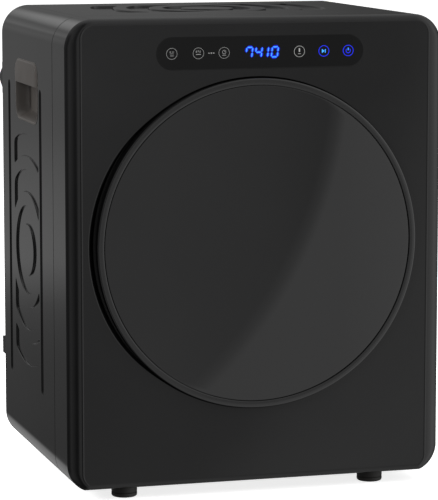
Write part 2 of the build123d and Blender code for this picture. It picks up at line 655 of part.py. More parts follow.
def make_exhaust_duct():
    """Floor duct from the blower chute to the rear plenum behind the spigot, in flat plates."""
    t = DUCT_T
    y0, y1, y2 = Y_BULK + BLOWER_WALL, Y_REAR_BULK + 2.2, Y_FLANGE + STEEL
    left, right, low, top = DUCT_LEFT, DUCT_RIGHT, DUCT_LOW, DUCT_TOP
    y_port = BLOWER_BACK - BLOWER_WALL
    port_low, port_top = BLOWER_LOW + BLOWER_WALL, BLOWER_TOP - BLOWER_WALL
    plates = [
        block(left, right, y0, y1, low, low + t),
        block(left, right, y0, y1, top - t, top),
        block(left, left + t, y0, y1, low + t, top - t),
        block(right - t, right, y_port, y1, low + t, top - t),
        block(right - t, right, y0, y_port, port_top, top - t),
        block(right - t, right, y0, y_port, low + t, port_low),
        block(left + t, right - t, y0, y0 + t, low + t, top - t),
    ]
    p_left, p_right = SPIGOT_X - PLENUM_HALF, SPIGOT_X + PLENUM_HALF
    p_low, p_top = PLENUM_LOW, SPIGOT_Z + PLENUM_HALF
    plates += [
        block(p_left, p_left + t, y1, y2, p_low, p_top),
        block(p_right - t, p_right, y1, y2, p_low, p_top),
        block(p_left + t, p_right - t, y1, y2, p_low, p_low + t),
        block(p_left + t, p_right - t, y1, y2, p_top - t, p_top),
        block(p_left + t, p_right - t, y1, y1 + t, top, p_top - t),
        block(p_left + t, left, y1, y1 + t, p_low + t, top),
        block(right, p_right - t, y1, y1 + t, p_low + t, top),
        block(left, right, y1, y1 + t, low, p_low),
    ]
    return Compound(children=plates)


def make_duct_spigot():
    """Flanged collar for a 100 mm exhaust duct."""
    flange = along_y(ring(58.0, 47.0, SPIGOT_X, SPIGOT_Z), Y_REAR, Y_REAR + 2.4)
    tube = along_y(ring(SPIGOT_R, 47.0, SPIGOT_X, SPIGOT_Z), Y_REAR, SPIGOT_END)
    return flange + tube


# ---- motor and drive ----
def motor_ring(r_outer, r_inner, y_front, y_back):
    return along_y(ring(r_outer, r_inner, MOTOR_X, MOTOR_Z), y_front, y_back)


def make_motor_housing():
    shell = motor_ring(MOTOR_R, MOTOR_R - MOTOR_WALL, MOTOR_FRONT, MOTOR_BACK)
    shell += motor_ring(MOTOR_R, MOTOR_BOSS_R, MOTOR_FRONT, MOTOR_FRONT + 3)
    shell += motor_ring(MOTOR_R, MOTOR_BOSS_R, MOTOR_BACK - 3, MOTOR_BACK)
    return shell


def make_motor_bushes():
    """Plain bushes in the two ends of the motor."""
    bore = MOTOR_SHAFT_R + RUN
    front = motor_ring(MOTOR_BOSS_R, bore, MOTOR_FRONT - 3, MOTOR_FRONT + 9)
    return front + motor_ring(MOTOR_BOSS_R, bore, MOTOR_BACK - 9, MOTOR_BACK + 3)


def make_motor_stator():
    return motor_ring(MOTOR_R - MOTOR_WALL, STATOR_R, MOTOR_FRONT + 16, MOTOR_BACK - 16)


def make_motor_rotor():
    """Rotor core on its shaft, which drives the blower in front and the belt behind."""
    core = motor_ring(ROTOR_R, MOTOR_SHAFT_R - 0.5, MOTOR_FRONT + 16, MOTOR_BACK - 16)
    return core + along_y(disc(MOTOR_SHAFT_R, MOTOR_X, MOTOR_Z), ROTOR_FRONT, ROTOR_BACK)


def make_motor_pulley():
    pulley = motor_ring(PULLEY_R, MOTOR_SHAFT_R, BELT_FRONT - 3, BELT_BACK + 3)
    for y in (BELT_FRONT - 3, BELT_BACK + 1):
        pulley += motor_ring(PULLEY_R + 3.5, MOTOR_SHAFT_R, y, y + 2)
    return pulley


def make_motor_cradle():
    """Sheet cradle: a foot on the base tray and an upright at each end of the motor."""
    cradle = block(MOTOR_X - 42, MOTOR_X + 42, MOTOR_FRONT - 4, MOTOR_BACK + 4, TRAY_SEAT, Z_LOW + 7)
    for y in (MOTOR_FRONT - 3, MOTOR_BACK):
        upright = Pos(MOTOR_X, (MOTOR_Z + Z_LOW + 6) / 2) * Rectangle(60, MOTOR_Z - Z_LOW - 6)
        plate = along_y(upright + disc(30.0, MOTOR_X, MOTOR_Z), y, y + 3)
        cradle += plate - along_y(disc(14.0, MOTOR_X, MOTOR_Z), y - OVER, y + 4)
    return cradle


def belt_run(grow, side):
    """Normal of a straight run of the belt, and its ends on the drum and on the pulley."""
    big, small = R_DRUM + grow, PULLEY_R + grow
    dx, dz = MOTOR_X, MOTOR_Z - Z_DOOR
    span = sqrt(dx * dx + dz * dz)
    along = (dx / span, dz / span)
    lean = (big - small) / span
    rise = side * sqrt(1 - lean * lean)
    normal = (lean * along[0] - rise * along[1], lean * along[1] + rise * along[0])
    on_drum = (big * normal[0], Z_DOOR + big * normal[1])
    on_pulley = (MOTOR_X + small * normal[0], MOTOR_Z + small * normal[1])
    return normal, on_drum, on_pulley


def belt_outline(grow):
    """Area inside a taut belt round the drum and the motor pulley, grown by grow."""
    _, drum_high, pulley_high = belt_run(grow, 1)
    _, drum_low, pulley_low = belt_run(grow, -1)
    loop = Polyline(drum_high, pulley_high, pulley_low, drum_low, close=True)
    return disc(R_DRUM + grow) + disc(PULLEY_R + grow, MOTOR_X, MOTOR_Z) + make_face(loop)


def make_drum_belt():
    return along_y(belt_outline(BELT_GAP + BELT_T) - belt_outline(BELT_GAP), BELT_FRONT, BELT_BACK)


def idler_centre():
    """The idler touches the lower run of the belt from below."""
    normal, _, run = belt_run(BELT_GAP + BELT_T, -1)
    slope = (-normal[1], normal[0])
    reach = (IDLER_X - run[0]) / slope[0]
    on_belt = (run[0] + reach * slope[0], run[1] + reach * slope[1])
    stand = IDLER_R + SOFT_GAP
    return on_belt[0] + stand * normal[0], on_belt[1] + stand * normal[1]


def make_idler_pulley():
    x, z = idler_centre()
    return along_y(ring(IDLER_R, AXLE_R + RUN, x, z), BELT_FRONT - 1, BELT_BACK + 1)


def make_idler_arm():
    """Lever with the idler's axle at one end and its pivot eye at the other."""
    x, z = idler_centre()
    y_front, y_back = BELT_BACK + 1.6, BELT_BACK + 4.6
    length = sqrt((ARM_PIVOT[0] - x) ** 2 + (ARM_PIVOT[1] - z) ** 2)
    middle = ((x + ARM_PIVOT[0]) / 2, (z + ARM_PIVOT[1]) / 2)
    lean = degrees(atan2(ARM_PIVOT[1] - z, ARM_PIVOT[0] - x))
    bar = Pos(*middle) * Rot(0, 0, lean) * SlotCenterToCenter(length, 2 * IDLER_BOSS_R)
    arm = along_y(bar, y_front, y_back)
    arm += along_y(disc(IDLER_BOSS_R, *ARM_PIVOT), y_front, y_back + 5)
    arm -= along_y(disc(AXLE_R + RUN, *ARM_PIVOT), y_front - OVER, y_back + 6)
    return arm + along_y(disc(AXLE_R, x, z), BELT_FRONT - 2, y_front + 1)


def make_idler_post():
    """Post on the base tray that carries the idler arm."""
    x, z = ARM_PIVOT
    y_back = BELT_BACK + 12
    post = block(x - 10, x + 10, y_back, y_back + 4, TRAY_SEAT, z + 10)
    foot = block(x - 14, x + 14, y_back, y_back + 22, TRAY_SEAT, Z_LOW + 7)
    axle = along_y(disc(AXLE_R, x, z), BELT_BACK + 0.6, y_back + 1)
    return post + foot + axle


# ---- base and casing ----
def make_base_tray():
    """Pressed tray that the feet and the motor cradle bolt to."""
    tray = block(-205, 222, -176, 172, Z_LOW + PLASTIC + 0.3, TRAY_TOP)
    for x in (-FOOT_X, FOOT_X):
        for y in FOOT_YS:
            tray -= along_z(Pos(x, y) * Circle(BOLT_HOLE), Z_LOW, Z_LOW + 8)
    return tray


def make_foot(x, y):
    """Rubber foot with a rounded tread, a neck under the casing and a screw recess."""
    foot = along_z(Pos(x, y) * Circle(FOOT_R), 0, FOOT_H - 1.6)
    foot = fillet(foot.edges().group_by(Axis.Z)[0], 2.5)
    foot += along_z(Pos(x, y) * Circle(FOOT_R - 2.5), FOOT_H - 1.6, FOOT_H)
    foot -= along_z(Pos(x, y) * Circle(7.0), -OVER, 8)
    return foot - along_z(Pos(x, y) * Circle(BOLT_HOLE), 0, FOOT_H + OVER)


def make_foot_screws():
    """Screws with washers, up through the feet into the base tray."""
    screws = Part()
    for x in (-FOOT_X, FOOT_X):
        for y in FOOT_YS:
            screws += along_z(Pos(x, y) * Circle(2 * FOOT_BOLT_R), 5.0, 8.0)
            screws += along_z(Pos(x, y) * Circle(FOOT_BOLT_R), 8.0, Z_LOW + 9)
    return screws


def oval(r, stretch_x, stretch_y):
    """A ring outline of the stamped pattern, stretched along the machine's depth."""
    return Ellipse(r * stretch_x, r * stretch_y)


def stamped_bands(grow, stretch_x, stretch_y, clip_w, clip_h):
    """Concentric oval bands, clipped to a straight strip."""
    bands = Sketch()
    for inner, outer in BANDS:
        bands += oval(outer + grow, stretch_x, stretch_y) - oval(inner - grow, stretch_x, stretch_y)
    return bands & Rectangle(clip_w + 2 * grow, clip_h + 2 * grow)


def side_pattern(grow=0.0):
    """Bands and two long slots, in Y and Z."""
    bands = stamped_bands(grow, PATTERN_STRETCH, 1.0, 2 * PATTERN_HALF, 400)
    shape = Pos(PATTERN_Y, PATTERN_Z) * bands
    for y in SLOT_YS:
        slot = SlotOverall(SLOT_TOP - SLOT_LOW + 2 * grow, SLOT_W + 2 * grow, rotation=90)
        shape += Pos(y, (SLOT_TOP + SLOT_LOW) / 2) * slot
    return shape


def top_pattern(grow=0.0):
    """The same bands laid across the top, in X and Y."""
    bands = stamped_bands(grow, 1.0, PATTERN_STRETCH, 400, 2 * TOP_PATTERN_HALF)
    return Pos(0, TOP_PATTERN_Y) * bands


def grip_outline(grow=0.0):
    shape = RectangleRounded(GRIP_W + 2 * grow, GRIP_H + 2 * grow, GRIP_R + grow)
    return Pos(GRIP_Y, GRIP_Z) * shape


def make_casing():
    """Pressed sheets that meet flush: stamped sides with the round corners, top and underside."""
    half = BODY_W / 2
    y_end = Y_REAR - 0.4
    wrap = along_y(body_outline() - body_outline(STEEL), Y_SEAM + SEAM_GAP, y_end)
    wrap += along_y(body_outline(0.5) - body_outline(14.0), Y_FLANGE, Y_FLANGE + STEEL)
    wrap += along_x(side_pattern(STEEL), half - RELIEF - STEEL, half - 0.5)
    wrap += along_x(side_pattern(STEEL), -half + 0.5, -half + RELIEF + STEEL)
    wrap += along_z(top_pattern(STEEL), Z_TOP - RELIEF - STEEL, Z_TOP - 0.5)
    wrap -= along_x(side_pattern(), half - RELIEF, half + OVER)
    wrap -= along_x(side_pattern(), -half - OVER, -half + RELIEF)
    wrap -= along_z(top_pattern(), Z_TOP - RELIEF, Z_TOP + OVER)
    wrap -= along_x(grip_outline(), -half - OVER, half + OVER)
    for x in (-FOOT_X, FOOT_X):
        wrap -= along_z(Pos(x, FOOT_YS[1]) * Circle(BOLT_SLACK), Z_LOW - OVER, Z_LOW + 3)
    for x, z in rear_screw_points():
        wrap -= along_y(disc(SCREW_HOLE + 0.1, x, z), Y_FLANGE - OVER, Y_FLANGE + 2)
    seam_x = half - BODY_R
    z_middle = (Z_LOW + Z_TOP) / 2
    grip_low, grip_top = GRIP_Z - GRIP_H / 2, GRIP_Z + GRIP_H / 2
    round_grip = (
        (Y_SEAM, Y_REAR, 0, grip_low),
        (Y_SEAM, Y_REAR, grip_top, Z_TOP + OVER),
        (Y_SEAM, GRIP_Y, grip_low, grip_top),
        (GRIP_Y, Y_REAR, grip_low, grip_top),
    )
    sheets = [wrap & block(-seam_x, seam_x, Y_SEAM, Y_REAR, 0, z_middle)]
    sheets.append(wrap & block(-seam_x, seam_x, Y_SEAM, Y_REAR, z_middle, Z_TOP + OVER))
    for x0, x1 in ((-half - OVER, -seam_x), (seam_x, half + OVER)):
        sheets += [wrap & block(x0, x1, *sheet) for sheet in round_grip]
    return Compound(children=sheets)


def make_grip(side):
    """Moulded pocket in the casing side, with a plate that the fingers curl behind."""
    half = BODY_W / 2
    inside = grip_outline(-SOFT_GAP - GRIP_WALL)
    x_plate = half + GRIP_PROUD - GRIP_PLATE_T
    cup = along_x(grip_outline(-SOFT_GAP), half - GRIP_DEPTH, half + 0.4)
    cup -= along_x(inside, half - GRIP_DEPTH + GRIP_WALL, half + 2)
    flange = along_x(grip_outline(4.0) - inside, half - STEEL - 2.0, half - STEEL - 0.1)
    plate_low = GRIP_Z + GRIP_H / 2 - GRIP_PLATE_H
    y_front = GRIP_Y - GRIP_W / 2
    plate = along_x(grip_outline(-SOFT_GAP), x_plate, half + GRIP_PROUD)
    plate -= block(half - 10, half + 5, y_front - OVER, y_front + GRIP_W + OVER, GRIP_Z - GRIP_H, plate_low)
    plate -= block(half - 10, half + 5, y_front - OVER, y_front + GRIP_FRONT_GAP,
                   GRIP_Z - GRIP_H, GRIP_Z + GRIP_H / 2 - 7)
    grip = cup + flange + plate
    return grip if side > 0 else mirrored(grip)


# ---- rear ----
def make_rear_panel():
    """Rear cover plate with the intake window, the spigot hole and the gland hole."""
    y_in = Y_FLANGE + STEEL
    panel = along_y(body_outline(3.0), y_in, Y_REAR)
    panel -= along_y(disc(47.5, SPIGOT_X, SPIGOT_Z), y_in - OVER, Y_REAR + OVER)
    panel -= along_y(Pos(HEATER_X, HEATER_Z) * Rectangle(100, 100), y_in - OVER, Y_REAR + OVER)
    panel -= along_y(disc(GLAND_R + 0.2, GLAND_X, GLAND_Z), y_in - OVER, Y_REAR + OVER)
    for x, z in rear_screw_points() + lug_screw_points():
        panel -= along_y(disc(SCREW_HOLE, x, z), y_in - OVER, Y_REAR + OVER)
    return panel


def rear_screw_points():
    """Screw places round the edge of the rear panel."""
    points = [(x, z) for x in (-238, 238) for z in (60, 220, 400, 570)]
    return points + [(x, z) for x in (-150, 150) for z in (Z_TOP - 9, Z_LOW + 9)]


def lug_screw_points():
    """Two screws through the foot of each wall lug."""
    return [(x, z) for x in (-225, 225) for z in LUG_ZS]


def make_rear_screws():
    """Pan-head screws through the rear panel, and through the lugs."""
    screws = Part()
    places = [(point, Y_REAR) for point in rear_screw_points()]
    places += [(point, Y_REAR + LUG_T) for point in lug_screw_points()]
    for (x, z), y_head in places:
        screws += along_y(disc(SCREW_HEAD_R, x, z), y_head, y_head + 2.0)
        screws += along_y(disc(SCREW_R, x, z), Y_FLANGE - 4, y_head)
    return screws


def make_intake_grille():
    """Louvred cover over the warm-air intake."""
    grille = along_y(Pos(HEATER_X, HEATER_Z) * RectangleRounded(124, 124, 8), Y_REAR, Y_REAR + 3)
    slots = Sketch()
    for step in range(9):
        slots += Pos(HEATER_X, HEATER_Z - 44 + 11 * step) * SlotOverall(92, 5)
    return grille - along_y(slots, Y_REAR - OVER, Y_REAR + 4)


def make_cord_gland():
    """Grommet for the supply lead."""
    gland = along_y(disc(GLAND_R, GLAND_X, GLAND_Z), Y_REAR - 10, Y_REAR + 8)
    gland += along_y(disc(GLAND_R + 3, GLAND_X, GLAND_Z), Y_REAR, Y_REAR + 3)
    return gland - along_y(disc(LEAD_R, GLAND_X, GLAND_Z), Y_REAR - 11, Y_REAR + 9)


def make_wall_lugs():
    """Steel lugs at the rear edges: a screwed foot and a pointed ear that hooks on a wall rail."""
    outer = BODY_W / 2 - 0.4
    low, high = LUG_ZS
    foot = block(outer - 34, outer, Y_REAR, Y_REAR + LUG_T, low - 8, high + 8)
    ear_outline = Polyline((Y_REAR + 1, low - 1), (Y_REAR + 1, high + 1), (Y_LUG, (low + high) / 2),
                           close=True)
    lug = foot + along_x(make_face(ear_outline), outer - 4, outer)
    for x, z in lug_screw_points():
        lug -= along_y(disc(SCREW_HOLE, x, z), Y_REAR - OVER, Y_REAR + 3)
    return lug + mirrored(lug)


def make_rear_spacers():
    """Rubber blocks that keep the bottom of the machine off a wall."""
    outer = BODY_W / 2 - 0.4
    spacer = block(outer - 18, outer, Y_REAR, Y_REAR + 20, SPACER_Z - 11.5, SPACER_Z + 11.5)
    spacer = fillet(spacer.faces().sort_by(Axis.Y)[-1].edges(), 4.0)
    return spacer + mirrored(spacer)


def make_power_board():
    """Mains filter and relay board on the rear bulkhead."""
    y_front = Y_REAR_BULK + 6
    y_back = y_front + BOARD_T
    board = block(60, 150, y_front, y_back, 420, 520)
    board += block(70, 92, y_back, y_back + 16.4, 430, 452)
    board += block(100, 134, y_back, y_back + 12.4, 430, 450)
    board += block(72, 130, y_back, y_back + 8.4, 490, 506)
    for x in (66, 144):
        for z in (426, 514):
            board += along_y(disc(3.0, x, z), Y_REAR_BULK + 2, y_front)
    return board


def sub_parts():
    """Every piece of the machine, by its node's name."""
    pieces = {
        "front_panel": make_front_panel(),
        "control_overlay": make_control_overlay(),
        "key_marks": make_key_marks(),
        "control_board": make_control_board(),
        "door_ring": make_door_ring(),
        "door_disc": make_door_disc(),
        "door_inner_ring": make_door_inner_ring(),
        "door_bowl": make_door_bowl(),
        "hinge_leaf": make_hinge_leaf(),
        "hinge_bracket": make_hinge_bracket(),
        "hinge_pin": make_hinge_pin(),
        "door_strike": make_door_strike(),
        "catch_housing": make_catch_housing(),
        "catch_jaw_upper": make_catch_jaw(1),
        "catch_jaw_lower": make_catch_jaw(-1),
        "door_switch": make_door_switch(),
        "switch_plunger": make_switch_plunger(),
        "mouth_gasket": make_mouth_gasket(),
        "front_bulkhead": make_front_bulkhead(),
        "drum_felt": make_drum_felt(),
        "drum_shell": make_drum_shell(),
        "drum_lifters": make_drum_lifters(),
        "drum_spider": make_drum_spider(),
        "drum_bush": make_drum_bush(),
        "rear_bulkhead": make_rear_bulkhead(),
        "rear_felt": make_rear_felt(),
        "heater_housing": make_heater_housing(),
        "heater_element": make_heater_element(),
        "lint_filter": make_lint_filter(),
        "lint_duct": make_lint_duct(),
        "blower_housing": make_blower_housing(),
        "blower_wheel": make_blower_wheel(),
        "exhaust_duct": make_exhaust_duct(),
        "duct_spigot": make_duct_spigot(),
        "motor_housing": make_motor_housing(),
        "motor_bushes": make_motor_bushes(),
        "motor_stator": make_motor_stator(),
        "motor_rotor": make_motor_rotor(),
        "motor_pulley": make_motor_pulley(),
        "motor_cradle": make_motor_cradle(),
        "drum_belt": make_drum_belt(),
        "idler_pulley": make_idler_pulley(),
        "idler_arm": make_idler_arm(),
        "idler_post": make_idler_post(),
        "base_tray": make_base_tray(),
        "foot_screws": make_foot_screws(),
        "casing": make_casing(),
        "grip_left": make_grip(-1),
        "grip_right": make_grip(1),
        "rear_panel": make_rear_panel(),
        "rear_screws": make_rear_screws(),
        "intake_grille": make_intake_grille(),
        "cord_gland": make_cord_gland(),
        "wall_lugs": make_wall_lugs(),
        "rear_spacers": make_rear_spacers(),
        "power_board": make_power_board(),
    }
    for depth, y in zip(("front", "rear"), FOOT_YS):
        for side, x in (("left", -FOOT_X), ("right", FOOT_X)):
            pieces[f"foot_{depth}_{side}"] = make_foot(x, y)
    return pieces


os.makedirs("parts", exist_ok=True)
for name, solid in sub_parts().items():
    export_step(solid, f"parts/{name}.step")
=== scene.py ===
import json
import math

import bmesh
import bpy
import numpy as np
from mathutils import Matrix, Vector
from mathutils.geometry import delaunay_2d_cdt


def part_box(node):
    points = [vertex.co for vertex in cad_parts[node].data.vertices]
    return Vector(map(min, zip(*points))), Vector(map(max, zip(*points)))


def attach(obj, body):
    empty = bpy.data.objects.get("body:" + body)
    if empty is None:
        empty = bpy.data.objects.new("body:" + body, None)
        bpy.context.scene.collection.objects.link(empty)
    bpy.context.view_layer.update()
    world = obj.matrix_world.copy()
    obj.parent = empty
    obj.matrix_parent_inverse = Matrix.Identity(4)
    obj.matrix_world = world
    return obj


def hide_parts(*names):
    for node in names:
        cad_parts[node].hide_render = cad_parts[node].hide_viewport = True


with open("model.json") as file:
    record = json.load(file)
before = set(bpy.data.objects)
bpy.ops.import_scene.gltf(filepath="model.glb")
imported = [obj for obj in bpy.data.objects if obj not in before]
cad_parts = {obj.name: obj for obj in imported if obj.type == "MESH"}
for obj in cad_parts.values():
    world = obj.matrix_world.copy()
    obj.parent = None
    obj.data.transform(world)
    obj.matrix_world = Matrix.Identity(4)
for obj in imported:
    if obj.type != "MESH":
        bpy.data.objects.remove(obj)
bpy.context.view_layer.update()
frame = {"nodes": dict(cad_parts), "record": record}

MM = 0.001

# ---- places taken from the CAD, in millimetres ----
def span(node, axis):
    low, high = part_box(node)
    return low[axis] / MM, high[axis] / MM


X, Y, Z = 0, 1, 2
HALF_W = span("front_panel", X)[1]
Z_LOW, Z_TOP = span("casing", Z)
Y_FACE, Y_SEAM = span("front_panel", Y)
Y_CASE_FRONT, Y_CASE_BACK = span("casing", Y)
Z_DOOR = sum(span("door_disc", Z)) / 2
R_DISC = span("door_disc", X)[1]
Y_DISC = span("door_disc", Y)[0]
R_DOOR = span("door_ring", X)[1]
Y_RING = span("door_ring", Y)[0]
OVERLAY = span("control_overlay", X) + span("control_overlay", Z)
KEYS_X = span("key_marks", X)
BODY_R = 37.0                   # the casing's round corners
CORNER_CUT = 3.0                # the lower corners end this far above their circle's foot
BEVEL_SIDE, BEVEL_TOP, BEVEL_DEEP = 18.0, 6.0, 8.0      # soft bevel round the face
BEVEL_LIP = 0.12
Y_EDGE = Y_FACE + BEVEL_DEEP
Y_FLOOR = Y_FACE + 22.0         # floor of the round recess behind the door
R_RECESS = 211.6
SCOOP_X, SCOOP_R = -12.7, 204.3         # crescent for the fingers at the door's free edge
R_MOUTH = 160.0
HINGE_X, STRIKE_X = 205.2, -180.0
HINGE_ARM_Z = 18.25             # the two hinge arms, above and below the door's axis
LINT_SLOT_HALF, LINT_SLOT_TOP = 80.0, 134.0
R_WEB, WEB_T = 150.0, 2.4       # rear web of the door ring
DISC_T = 3.5
Y_DOOR_BACK = -184.0
DISC_CROWN = 4.0
KEY_Z = (OVERLAY[2] + OVERLAY[3]) / 2
PATTERN_Y, PATTERN_Z = 35.0, 294.5
TOP_PATTERN_Y = 30.0
BANDS = ((34.0, 59.0), (77.0, 107.0), (124.5, 154.5))
STRETCH = 1.16
RELIEF = 2.2
GRIP_Y, GRIP_Z, GRIP_W, GRIP_H, GRIP_R = 28.0, 506.0, 134.0, 81.0, 20.0
PLATE_H, PLATE_T, PLATE_PROUD = 32.0, 4.6, 1.9          # the grip's finger plate
SHARP = 32.0                    # edges sharper than this many degrees stay sharp


# ---- materials ----
class Finish:
    """A Principled material with helpers for its procedural nodes."""

    def __init__(self, name, color, rough, **sockets):
        self.material = bpy.data.materials.new(name)
        self.material.use_nodes = True
        self.tree = self.material.node_tree
        self.shader = self.tree.nodes["Principled BSDF"]
        self.shader.inputs["Base Color"].default_value = (*color, 1)
        self.shader.inputs["Roughness"].default_value = rough
        for key, value in sockets.items():
            self.shader.inputs[key.replace("_", " ")].default_value = value
        self.color, self.rough = color, rough
        self.height = None

    def node(self, kind, **inputs):
        node = self.tree.nodes.new(kind)
        for key, value in inputs.items():
            node.inputs[key.replace("_", " ")].default_value = value
        return node

    def link(self, out, to):
        self.tree.links.new(out, to)

    def coords(self, scale=(1, 1, 1)):
        mapping = self.node("ShaderNodeMapping")
        mapping.inputs["Scale"].default_value = scale
        self.link(self.node("ShaderNodeTexCoord").outputs["Object"], mapping.inputs["Vector"])
        return mapping.outputs["Vector"]

    def noise(self, scale, detail=3.0, stretch=(1, 1, 1), distortion=0.0):
        noise = self.node("ShaderNodeTexNoise", Scale=scale, Detail=detail, Distortion=distortion)
        self.link(self.coords(stretch), noise.inputs["Vector"])
        return noise.outputs["Fac"]

    def ramp(self, fac, low, high, start=0.3, end=0.7):
        ramp = self.node("ShaderNodeMapRange")
        ramp.inputs["From Min"].default_value = start
        ramp.inputs["From Max"].default_value = end
        ramp.inputs["To Min"].default_value = low
        ramp.inputs["To Max"].default_value = high
        self.link(fac, ramp.inputs["Value"])
        return ramp.outputs["Result"]

    def vary_color(self, fac, other, start=0.35, end=0.65):
        mix = self.node("ShaderNodeMix")
        mix.data_type = "RGBA"
        mix.inputs[6].default_value = (*self.color, 1)
        mix.inputs[7].default_value = (*other, 1)
        self.link(self.ramp(fac, 0, 1, start, end), mix.inputs[0])
        self.link(mix.outputs[2], self.shader.inputs["Base Color"])
        return self

    def vary_rough(self, fac, low, high, start=0.3, end=0.7):
        self.link(self.ramp(fac, low, high, start, end), self.shader.inputs["Roughness"])
        return self

    def bump(self, fac, distance, strength=1.0):
        bump = self.node("ShaderNodeBump", Strength=strength, Distance=distance)
        self.link(fac, bump.inputs["Height"])
        if self.height:
            self.link(self.height, bump.inputs["Normal"])
        self.height = bump.outputs["Normal"]
        self.link(self.height, self.shader.inputs["Normal"])
        return self


def gloss(name, color, low, high, peel=0.00002, **sockets):
    """Gloss black paint or plastic: faint orange peel, cloudy gloss and a little dust."""
    f = Finish(name, color, (low + high) / 2, **sockets)
    f.vary_rough(f.noise(9, 4), low, high)
    f.bump(f.noise(240, 2), peel)
    lighter = tuple(c * 1.5 + 0.002 for c in color)
    return f.vary_color(f.noise(3.5, 5, distortion=0.6), lighter, 0.3, 0.75)


def grained(name, color, rough, scale=900, depth=0.00008, shift=0.8, **sockets):
    """Moulded plastic or rubber with a fine spark-eroded grain."""
    f = Finish(name, color, rough, **sockets)
    f.bump(f.noise(scale, 4), depth)
    f.vary_rough(f.noise(14, 4), rough - 0.07, min(rough + 0.08, 1))
    return f.vary_color(f.noise(26, 5), tuple(c * shift for c in color))


def metal(name, color, rough, grain=(1, 1, 1), scale=300, depth=0.00002):
    """Sheet or turned metal with its grain drawn out along one direction."""
    f = Finish(name, color, rough, Metallic=1.0)
    f.vary_rough(f.noise(scale, 4, grain), rough - 0.08, rough + 0.12)
    f.bump(f.noise(scale, 3, grain), depth)
    return f.vary_color(f.noise(7, 5), tuple(c * 0.8 for c in color))


def lit(name, color, strength, core):
    """Back-lit print: an emitting colour that is slightly uneven."""
    f = Finish(name, core, 0.4, Emission_Strength=strength)
    f.shader.inputs["Emission Color"].default_value = (*color, 1)
    mix = f.node("ShaderNodeMix")
    mix.data_type = "RGBA"
    mix.inputs[6].default_value = (*color, 1)
    mix.inputs[7].default_value = (*[c * 0.75 for c in color], 1)
    f.link(f.ramp(f.noise(500, 2), 0, 1), mix.inputs[0])
    f.link(mix.outputs[2], f.shader.inputs["Emission Color"])
    return f


CASING = gloss("casing_gloss", (0.0045, 0.0045, 0.0046), 0.055, 0.085, 0.000001)
FRONT = gloss("front_gloss", (0.0055, 0.0055, 0.0057), 0.07, 0.1, 0.000001, Specular_IOR_Level=0.48)
RING = gloss("door_gloss", (0.004, 0.004, 0.0042), 0.12, 0.17, 0.000002, Specular_IOR_Level=0.8)
GLASS = gloss("door_glass", (0.0025, 0.0025, 0.0027), 0.014, 0.024, 0.0000003,
              Specular_IOR_Level=0.78)
OVERLAY_GLASS = gloss("overlay_glass", (0.002, 0.002, 0.0021), 0.08, 0.12, 0.0000008,
                      Specular_IOR_Level=0.3)
TAUPE = grained("grip_taupe", (0.068, 0.061, 0.056), 0.42, 1400, 0.00002, 0.9)
RUBBER = grained("foot_rubber", (0.018, 0.017, 0.015), 0.6, 1100, 0.0001, 0.6)
SOFT = grained("soft_rubber", (0.01, 0.01, 0.01), 0.55, 1300, 0.00008, 0.6)
MATTE = grained("matte_black", (0.014, 0.014, 0.014), 0.5, 1000, 0.00009, 0.7)
REAR = grained("rear_black", (0.02, 0.02, 0.0205), 0.48, 700, 0.00012, 0.8)
SCREW = metal("black_screw", (0.06, 0.06, 0.062), 0.38, scale=900)
INNER = grained("inner_plastic", (0.085, 0.085, 0.09), 0.45, 1200, 0.00006, 0.9)
WHITE = grained("white_plastic", (0.6, 0.6, 0.58), 0.42, 1200, 0.00005, 0.95)
LINT = grained("lint_plastic", (0.2, 0.22, 0.25), 0.5, 1500, 0.00008, 0.85)
STAINLESS = metal("stainless", (0.56, 0.56, 0.55), 0.27, (40, 1, 40), 60, 0.00003)
ZINC = metal("zinc", (0.5, 0.51, 0.52), 0.36, (1, 1, 1), 45)
STEEL = metal("steel", (0.42, 0.42, 0.42), 0.3, (1, 30, 1), 90)
BRONZE = metal("bronze", (0.42, 0.29, 0.13), 0.42, scale=700, depth=0.00005)
CAST = metal("aluminium_cast", (0.52, 0.52, 0.53), 0.45, scale=500, depth=0.0001)
LAMINATION = metal("lamination", (0.16, 0.15, 0.15), 0.5, (1, 300, 1), 8, 0.0001)
FINS = metal("heater_fins", (0.5, 0.5, 0.5), 0.35)
FELT = grained("felt", (0.3, 0.29, 0.26), 0.95, 1800, 0.0004, 0.7, Sheen_Weight=0.4)
BELT = grained("belt_rubber", (0.012, 0.012, 0.012), 0.7, 1500, 0.0001, 0.7)
BOARD = grained("circuit", (0.01, 0.09, 0.035), 0.4, 600, 0.00005, 0.6)
BOWL = Finish("clear_bowl", (0.82, 0.85, 0.88), 0.06, Transmission_Weight=0.92, IOR=1.49)
BOWL.vary_rough(BOWL.noise(12, 3), 0.04, 0.1)
BOWL.bump(BOWL.noise(30, 2), 0.00002)
KEY_WHITE = lit("key_white", (0.6, 0.6, 0.58), 0.6, (0.1, 0.1, 0.1))
KEY_GREY = lit("key_grey", (0.46, 0.46, 0.45), 0.5, (0.1, 0.1, 0.1))
BLUE_CORE = lit("blue_core", (0.03, 0.34, 1.0), 1.0, (0.05, 0.3, 0.8))
# The deep blue below lights the blue key rings and is also the painted dim fringe round each clock digit;
# the darker blue after it is the painted wider halo of the digits' light in the glass.
BLUE_RING_AND_HALO = lit("blue_ring_and_painted_halo", (0.002, 0.014, 0.85), 1.0, (0.01, 0.02, 0.4))
BLUE_GLOW = lit("blue_glow", (0.0, 0.004, 0.42), 1.0, (0.0, 0.0, 0.02))

